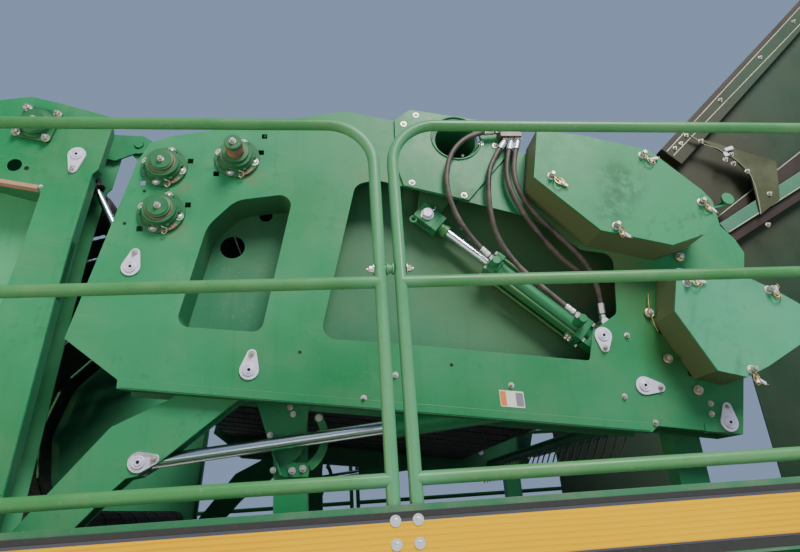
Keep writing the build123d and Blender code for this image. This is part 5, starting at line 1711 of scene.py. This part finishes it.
@dataclass
class Belts:
    """Ribbed belts of the bale chamber, front and gate."""

    room: float = 1195
    width: float = 176
    gap: float = 45
    thick: float = 5.4
    rib: float = 9
    rib_high: float = 2.2
    pitch: float = 31
    front: tuple[Point, ...] = ((-1044, 1731), (-1039, 1527), (-1165, 1075), (560, 800))
    upper: tuple[Point, ...] = ((-764, 1771), (915, 1500))
    reach: float = 66.3
    gate: tuple[Point, ...] = ((-1560, 1925), (-2095, 1775), (-2420, 1450), (-2545, 1075),
                               (-2500, 720), (-2360, 470), (-1560, 430))
    gate_reach: float = 66

    def loops(self, name: str, paths: list[list[Point]], body: str,
              replaces: tuple[str, ...]) -> None:
        """Belts side by side along closed paths.

        Args:
            name: Start of the pieces' names.
            paths: The belts' middle lines.
            body: The body they ride on.
            replaces: The nodes they stand for.
        """
        work = Work()
        count = int((2 * self.room + self.gap) // (self.width + self.gap))
        reach = (count - 1) * (self.width + self.gap) / 2
        spots, turned = [], []
        for path in paths:
            points, headings = spaced(path, self.pitch)
            spots += [(x, 0, z) for x, z in points]
            turned += [(0, -heading, 0) for heading in headings]
            for n in range(count):
                self.band(work, path, n * (self.width + self.gap) - reach)
        work.piece(name, "belt", body=body, sharp=40, replaces=replaces)
        run(belt_tree(), name + "_ribs", spots, {"turned": turned},
            {"Belt Width": self.width * MM, "Belt Gap": self.gap * MM, "Belts": count,
             "Rib Length": self.rib * MM, "Rib Height": (self.thick + 2 * self.rib_high) * MM},
            "belt", body)

    def band(self, work: Work, path: list[Point], middle: float) -> None:
        """One belt without its ribs.

        Args:
            work: Work that takes the belt.
            path: Its middle line.
            middle: Where it runs across the machine.
        """
        count = len(path)
        rings = []
        for k, (x, z) in enumerate(path):
            ax, az, _ = towards(path[k - 1], (x, z))
            bx, bz, _ = towards((x, z), path[(k + 1) % count])
            out = Vector((az + bz, -(ax + bx)))
            out = out.normalized() * self.thick / 2 if out.length > 1e-6 else Vector((0, 0))
            half = self.width / 2
            rings.append([work.bm.verts.new((x + s * out.x, middle + t * half, z + s * out.y))
                          for s, t in ((1, 1), (1, -1), (-1, -1), (-1, 1))])
        for k in range(count):
            row, after = rings[k], rings[(k + 1) % count]
            for j in range(4):
                work.bm.faces.new((row[j], row[(j + 1) % 4], after[(j + 1) % 4], after[j]))

    def build(self) -> None:
        """Make the belts of the frame and of the gate."""
        self.loops("front_belt_set",
                   [belt_path(path, self.reach) for path in (self.front, self.upper)],
                   "frame", ("front_belts",))
        self.loops("gate_belt_set", [belt_path(self.gate, self.gate_reach)], "gate",
                   ("gate_belts",))


@dataclass
class Gate:
    """Rear gate: sheets, folded front edge, bearing and window ledge."""

    bearing: Point = (-1546, 1931)
    hole: Point = (-1559, 1731)
    turn: float = -14
    plate: float = 13
    fold: float = 5.3
    flange: float = 48
    edge: tuple[Point, ...] = (
        (-1317, 1694), (-1353, 1420), (-1377, 1189), (-1435, 536))

    def build(self) -> None:
        """Make the gate's pieces."""
        for node, finish, body, bevel in (
                ("gate_skins", "sheet", "gate", 1.2), ("gate_ears", "sheet", "gate", 1.2),
                ("hinge_ears", "sheet", "frame", 1.2), ("gate_walls", "window", "gate", 1),
                ("gate_rims", "inner", "gate", 1), ("gate_tubes", "inner", "gate", 1),
                ("gate_rollers", "steel", "gate", 1)):
            rounded_copy(node, finish, body, bevel)
        x, z = self.bearing
        work = Work()
        square, holes = (
            turned_corners(self.bearing, math.radians(self.turn),
                           [(-half, -half), (half, -half), (half, half), (-half, half)])
            for half in (74, 59))
        f = SKIN + self.plate
        work.prism(soft_outline(square, 16), SKIN, f)
        work.disc((x, z), [(f, 66), (f + 3, 62), (f + 20, 58), (f + 22, 54), (f + 26, 54),
                           (f + 27, 46), (f + 30, 42), (f + 32, 30)], 40)
        work.both_sides().piece("gate_bearing_housing", "cast", body="gate", bevel=1.5,
                                replaces=("gate_bearings",))
        screws("gate_bearing_screws", [(sx, -f, sz) for sx, sz in holes], Way.RIGHT, 20, both=True,
               body="gate")
        screws("gate_centre_screw", [(x, -f - 32, z)], Way.RIGHT, 14, both=True, body="gate")
        screws("gate_small_screws", [(-1612, -SKIN, 2020), (-1495, -SKIN, 1650)],
               Way.RIGHT, 11, both=True, body="gate", head=Head.DOME)
        # Black disc: painted shade inside a punched hole in the gate skin.
        hole = Work()
        hole.disc(self.hole, [(SKIN, 9), (SKIN + 0.5, 9.5), (SKIN + 0.6, 8)], 20)
        hole.both_sides().piece("gate_punched_hole", "black", body="gate", bevel=0.2)
        self.front_edge()

    def front_edge(self) -> None:
        """Folded front edge: a narrow turned strip, and the flange behind it."""
        work, strip = Work(), Work()
        inner = SKIN - self.fold
        for (x0, z0), (x1, z1) in zip(self.edge, self.edge[1:]):
            work.prism([(x0, z0), (x1, z1), (x1 - 6, z1), (x0 - 6, z0)],
                       inner - self.flange, inner)
            strip.prism([(x0 - 1, z0), (x1 - 1, z1), (x1 - 19, z1), (x0 - 19, z0)], SKIN, SKIN + 2)
        work.both_sides().piece("gate_front_flange", "inner", body="gate", bevel=0.8)
        strip.both_sides().piece("gate_front_strip", "sheet", body="gate", bevel=0.9)
        rim = Work()
        rim.prism([(-1508, 1640), (-1502, 1655), (-1800, 1716), (-1808, 1700)],
                  SKIN - 30, SKIN + 1)
        rim.both_sides().piece("gate_window_ledge", "pinkish", body="gate", bevel=1)


@dataclass
class Cylinders:
    """Gate lift cylinders and cradle cylinders."""

    def build(self) -> None:
        """Give barrels and rods their finishes."""
        rounded_copy("gate_barrels", "black", body="gate_cylinders", bevel=1.2)
        rounded_copy("ram_barrels", "sheet", body="cradle_cylinders", bevel=1.2)
        for node in ("gate_rods", "ram_rods"):
            show(node, "chrome")


@dataclass
class Cradle:
    """Bale cradle behind the frame."""

    def build(self) -> None:
        """Make the arms and the roller bed."""
        for node, finish, bevel in (("cradle_arms", "sheet", 1.5), ("cradle_bed", "sheet", 2),
                                    ("cradle_pins", "zinc", 0.8)):
            rounded_copy(node, finish, "cradle", bevel)


@dataclass
class Hood:
    """Feed hood ahead of the frame, with its rim, beam, bracket and tube."""

    side: float = 1200
    rim: float = 45
    beam: float = 60
    rim_lines: tuple[tuple[Point, Point], ...] = (
        ((1216, 1917), (2292, 2909)), ((1244, 1894), (2292, 2820)))
    rim_screws: tuple[Point, ...] = (
        (1262, 1936), (1300, 1963), (1340, 2010), (1582, 2226), (1894, 2509), (2180, 2770))
    screws: tuple[Point, ...] = (
        (1485, 1855), (1520, 1833), (1579, 1791), (1653, 1668), (1592, 1506), (1524, 1884),
        (1388, 1960))

    def build(self) -> None:
        """Make the hood's pieces."""
        for node, finish, bevel in (("hood_sides", "hood", 2), ("hood_beams", "beam", 3),
                                    ("hood_brackets", "olive", 1.5), ("hood_roof", "hood", 0.8)):
            rounded_copy(node, finish, bevel=bevel)
        highlights, band = Work(), Work()
        face = self.side + self.rim
        # Pale lines along the rim: painted highlights.
        for start, end in self.rim_lines:
            highlights.prism(bar_outline(start, end, 0, math.dist(start, end), 2.4), face, face + 2.5)
        highlights.both_sides().piece("rim_beads", "line", bevel=0.8)
        band.prism([(1196, 1931), (1213, 1914), (2297, 2910), (2297, 2948)], face, face + 1)
        band.both_sides().piece("rim_shadow_band", "brown", bevel=0.3)
        disc = Work()
        disc.disc((1411, 1628), [(1206, 8), (1288, 8), (1290, 28), (1291, 30), (1299, 30),
                                 (1301, 28)], 32)
        disc.pipe([(1404, -1285, 1612), (1384, -1280, 1600), (1350, -1262, 1596),
                   (1332, -1206, 1590)], 7, 10)
        disc.both_sides().piece("hood_pivot_disc", "sheet", sharp=28)
        self.bracket_edge()
        self.beam_lines()
        screws("rim_screws", [(x, -face, z) for x, z in self.rim_screws], Way.RIGHT, 12, both=True)
        screws("bracket_screws", [(x, -BRACKET_FACE, z) for x, z in self.screws], Way.RIGHT, 14,
               both=True)

    def bracket_edge(self) -> None:
        """Bright worn edge of the curved bracket, and the small latch on it."""
        work = Work()
        work.pipe([(x, -BRACKET_FACE - 1, z) for x, z in (
            (1345, 1991), (1405, 1941), (1462, 1922), (1500, 1890), (1540, 1858), (1575, 1812),
            (1592, 1765), (1594, 1700), (1586, 1620), (1575, 1562))], 2.0)
        work.both_sides().piece("bracket_bright_edge", "line")
        latch = Work()
        for corners, high in (([(1496, 1899), (1540, 1912), (1536, 1928), (1492, 1914)], 12),
                              ([(1490, 1872), (1512, 1880), (1502, 1904), (1484, 1896)], 5)):
            latch.prism(soft_outline(corners, 4), BRACKET_FACE, BRACKET_FACE + high)
        latch.both_sides().piece("bracket_latch", "plate", bevel=0.8)

    def beam_lines(self) -> None:
        """Dark channel over the green beam, the brown flange under it, and their bright edges."""
        bright = Work()
        face = self.side + self.beam
        for name, corners, far in (
                ("hood_channel", [(1366, 1526), (1392, 1575), (2200, 2101), (2200, 1985)], 20),
                ("hood_lower_flange", [(1394, 1468), (1420, 1432), (2240, 1868), (2240, 1920)],
                 46)):
            work = Work()
            work.prism(corners, self.side + 1, self.side + far)
            work.both_sides().piece(name, "brown", bevel=2)
        # Pale lines along the channel's and the flange's edges: painted highlights.
        bright.pipe([(1394, -self.side - 21, 1573), (2196, -self.side - 21, 2096)], 3)
        bright.pipe([(1396, -face - 1, 1476), (2290, -face - 1, 1950)], 3)
        bright.both_sides().piece("hood_bright_edges", "line")


@dataclass
class Walkways:
    """Side walkways with raised tread, toe board, yellow edge strip and its bolts."""

    low: float = 1450
    high: float = 2006
    rear: float = -1680
    front: float = 1700
    tread: float = 42
    tread_start: float = 40
    tread_margin: float = 60
    post_line: float = 1968
    post_room: float = 34

    def build(self) -> None:
        """Make the walkways' pieces."""
        rounded_copy("walkways", "deck", bevel=1.2)
        show("edge_strips", "strip")
        diamond = Work()
        diamond.loft([[Vector((13, 0, 0)), Vector((0, 4, 0)), Vector((-13, 0, 0)),
                       Vector((0, -4, 0))],
                      [Vector((9, 0, 1.8)), Vector((0, 2, 1.8)), Vector((-9, 0, 1.8)),
                       Vector((0, -2, 1.8))]])
        spots, turned = [], []
        rows = int((self.high - self.low - self.tread_margin) // self.tread)
        columns = int((self.front - self.rear - self.tread_margin) // self.tread)
        for sign in (-1, 1):
            for i in range(columns):
                for j in range(rows):
                    x = self.rear + self.tread_start + i * self.tread
                    y = self.low + self.tread_start + j * self.tread
                    if y > self.post_line and any(abs(x - post) < self.post_room
                                                  for post in POSTS):
                        continue
                    spots.append((x, sign * y, DECK_TOP))
                    turned.append((0, 0, math.radians(45 if (i + j) % 2 else -45)))
        copies("deck_tread", diamond, spots, turned, "deck")
        bolts = [(x, -STRIP_FACE, z) for x in (-266, -213, -1640, 1660) for z in (391, 341)]
        screws("strip_bolts", bolts, Way.RIGHT, 19, height=3.4, washer=13, head=Head.DOME,
               finish="zinc", both=True)
        bands = Work()
        for bottom, top in ((396.4, 410), (271, 292.6)):
            bands.prism([(self.rear + 3, bottom), (self.front - 3, bottom), (self.front - 3, top),
                         (self.rear + 3, top)], FASCIA, STRIP_FACE)
        bands.both_sides().piece("dark_grip_bands", "tread", bevel=0.4)


@dataclass
class GuardRails:
    """Tube guard rails with a short spacer between the two middle posts."""

    line: float = 1990
    height: float = 1028

    def build(self) -> None:
        """Make the rails, the spacer with its bolt, and the posts' collars."""
        for node in ("guard_rails_rear", "guard_rails_front"):
            rounded_copy(node, "rail", bevel=0.5)
        work = Work()
        _, low, high, _ = POSTS
        for start, turn in ((low + 17.3, 1), (high - 17.6, -1)):
            work.lathe([(0, 15), (1, 16.5), (5, 16.5), (6, 12.2)],
                       (start, -self.line, self.height), Vector((turn, 0, 0)), 24)
        work.both_sides().piece("post_spacer", "rail", sharp=28)
        for name, x, way in (("spacer_nuts", low - 17, Way.REAR),
                             ("spacer_heads", high + 17, Way.FRONT)):
            screws(name, [(x, -self.line, self.height)], way, 17, washer=16, both=True)
        collars = Work()
        for x in POSTS:
            collars.lathe([(0, 24), (0, 19), (3, 19), (3, 23)], (x, -self.line, DECK_TOP),
                          Vector(Way.UP.value), 24)
        collars.both_sides().piece("post_collars", "rail", sharp=28)


@dataclass
class LadderFrame:
    """Ladder frame with its pads, posts, hose guides and small parts of the front."""

    tine: tuple[Point, ...] = ((796, 666), (772, 632), (752, 590), (726, 548))
    tine_room: int = 1150
    tine_pitch: int = 92
    guide: tuple[Point, ...] = ((-561, 789), (-550, 763), (-632, 693), (-620, 571))
    foot: tuple[Point, ...] = ((-553, 564), (-515, 569), (-456, 744))
    pad: Point = (900, 750)
    pad_top: float = 20

    def build(self) -> None:
        """Make the frame's pieces."""
        for node, bevel in (("frame_rails", 3), ("cross_beams", 3), ("posts", 3), ("guides", 1)):
            rounded_copy(node, "sheet", bevel=bevel)
        tine = Work()
        tine.pipe([(x, 0, z) for x, z in self.tine], 4, 6)
        across = [(0, y, 0)
                  for y in range(-self.tine_room, self.tine_room + 1, self.tine_pitch)]
        copies("comb_tines", tine, across, [(0, 0, 0)] * len(across), "steel")
        for node, finish, bevel in (("front_rollers", "steel", 1), ("manifold", "steel", 2),
                                    ("wall_ports", "zinc", 1)):
            rounded_copy(node, finish, bevel=bevel)
        for name, spots, face, size in (("guide_screws", self.guide, GUIDE_FACE, 13),
                                        ("guide_foot_screws", self.foot, GUIDE_FACE + 6, 15)):
            screws(name, [(x, -face, z) for x, z in spots], Way.RIGHT, size, both=True)
        pads = [(a * self.pad[0], b * self.pad[1], self.pad_top) for a in (-1, 1) for b in (-1, 1)]
        screws("pad_bolts", pads, Way.UP, 30)


@dataclass
class Studio:
    """Pale floor, one large key light, a fill and a soft sky."""

    floor_half: float = 30
    key_power: float = 3300
    low_power: float = 230
    rear_power: float = 225
    sky: tuple[float, float, float, float] = (0.50, 0.68, 1.0, 1)
    sky_power: float = 0.46

    def build(self) -> None:
        """Make the floor, lights and sky."""
        h = self.floor_half
        mesh = bpy.data.meshes.new("floor")
        mesh.from_pydata([(-h, -h, 0), (h, -h, 0), (h, h, 0), (-h, h, 0)], [], [(0, 1, 2, 3)])
        mesh.materials.append(material("floor"))
        placed("floor", mesh)
        for name, place, aim, power, size, tone in (
                ("key", (3.5, -9.5, 10.5), (0, -1, 1.2), self.key_power, 6.0, (1, 0.97, 0.92)),
                ("low", (-5.5, -3.6, 0.4), (0.6, -1.3, 1.4), self.low_power, 3.0, (1, 0.74, 0.40)),
                ("rear", (-5.0, 6.5, 5.0), (0, 0, 1.2), self.rear_power, 4.0, (1, 1, 1))):
            data = bpy.data.lights.new(name, "AREA")
            data.energy = power
            data.shape = "DISK"
            data.size = size
            data.color = tone
            light = placed(name, data)
            way = Vector(aim) - Vector(place)
            turned = way.to_track_quat("-Z", "Y").to_matrix().to_4x4()
            light.matrix_world = Matrix.Translation(place) @ turned
        world = bpy.data.worlds.new("sky")
        world.use_nodes = True
        back = world.node_tree.nodes["Background"]
        back.inputs["Color"].default_value = self.sky
        back.inputs["Strength"].default_value = self.sky_power
        bpy.context.scene.world = world


def show(node: str, finish: str) -> None:
    """Give a finish to a node that stays as it is.

    Args:
        node: The node.
        finish: Key of the finish.
    """
    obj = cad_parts[node]
    if not obj.material_slots:
        obj.data.materials.append(material(finish))
    for slot in obj.material_slots:
        slot.material = material(finish)
    LOG.info("node %s shown as %s", node, finish)


def main() -> None:
    """Build the camera, the hoses and every sub-assembly in order."""
    logging.basicConfig(level=logging.INFO, format="%(name)s %(message)s")
    for assembly in (Viewpoint, Hoses, Sheets, Bearings, PinPlates, BeltTensioner, ChainDrives,
                     Covers, Belts, Gate, Cylinders, Cradle, Hood, Walkways, GuardRails,
                     LadderFrame, Studio):
        LOG.info("%s: %s", assembly.__name__, assembly.__doc__)
        assembly().build()


if __name__ == "__main__":
    main()
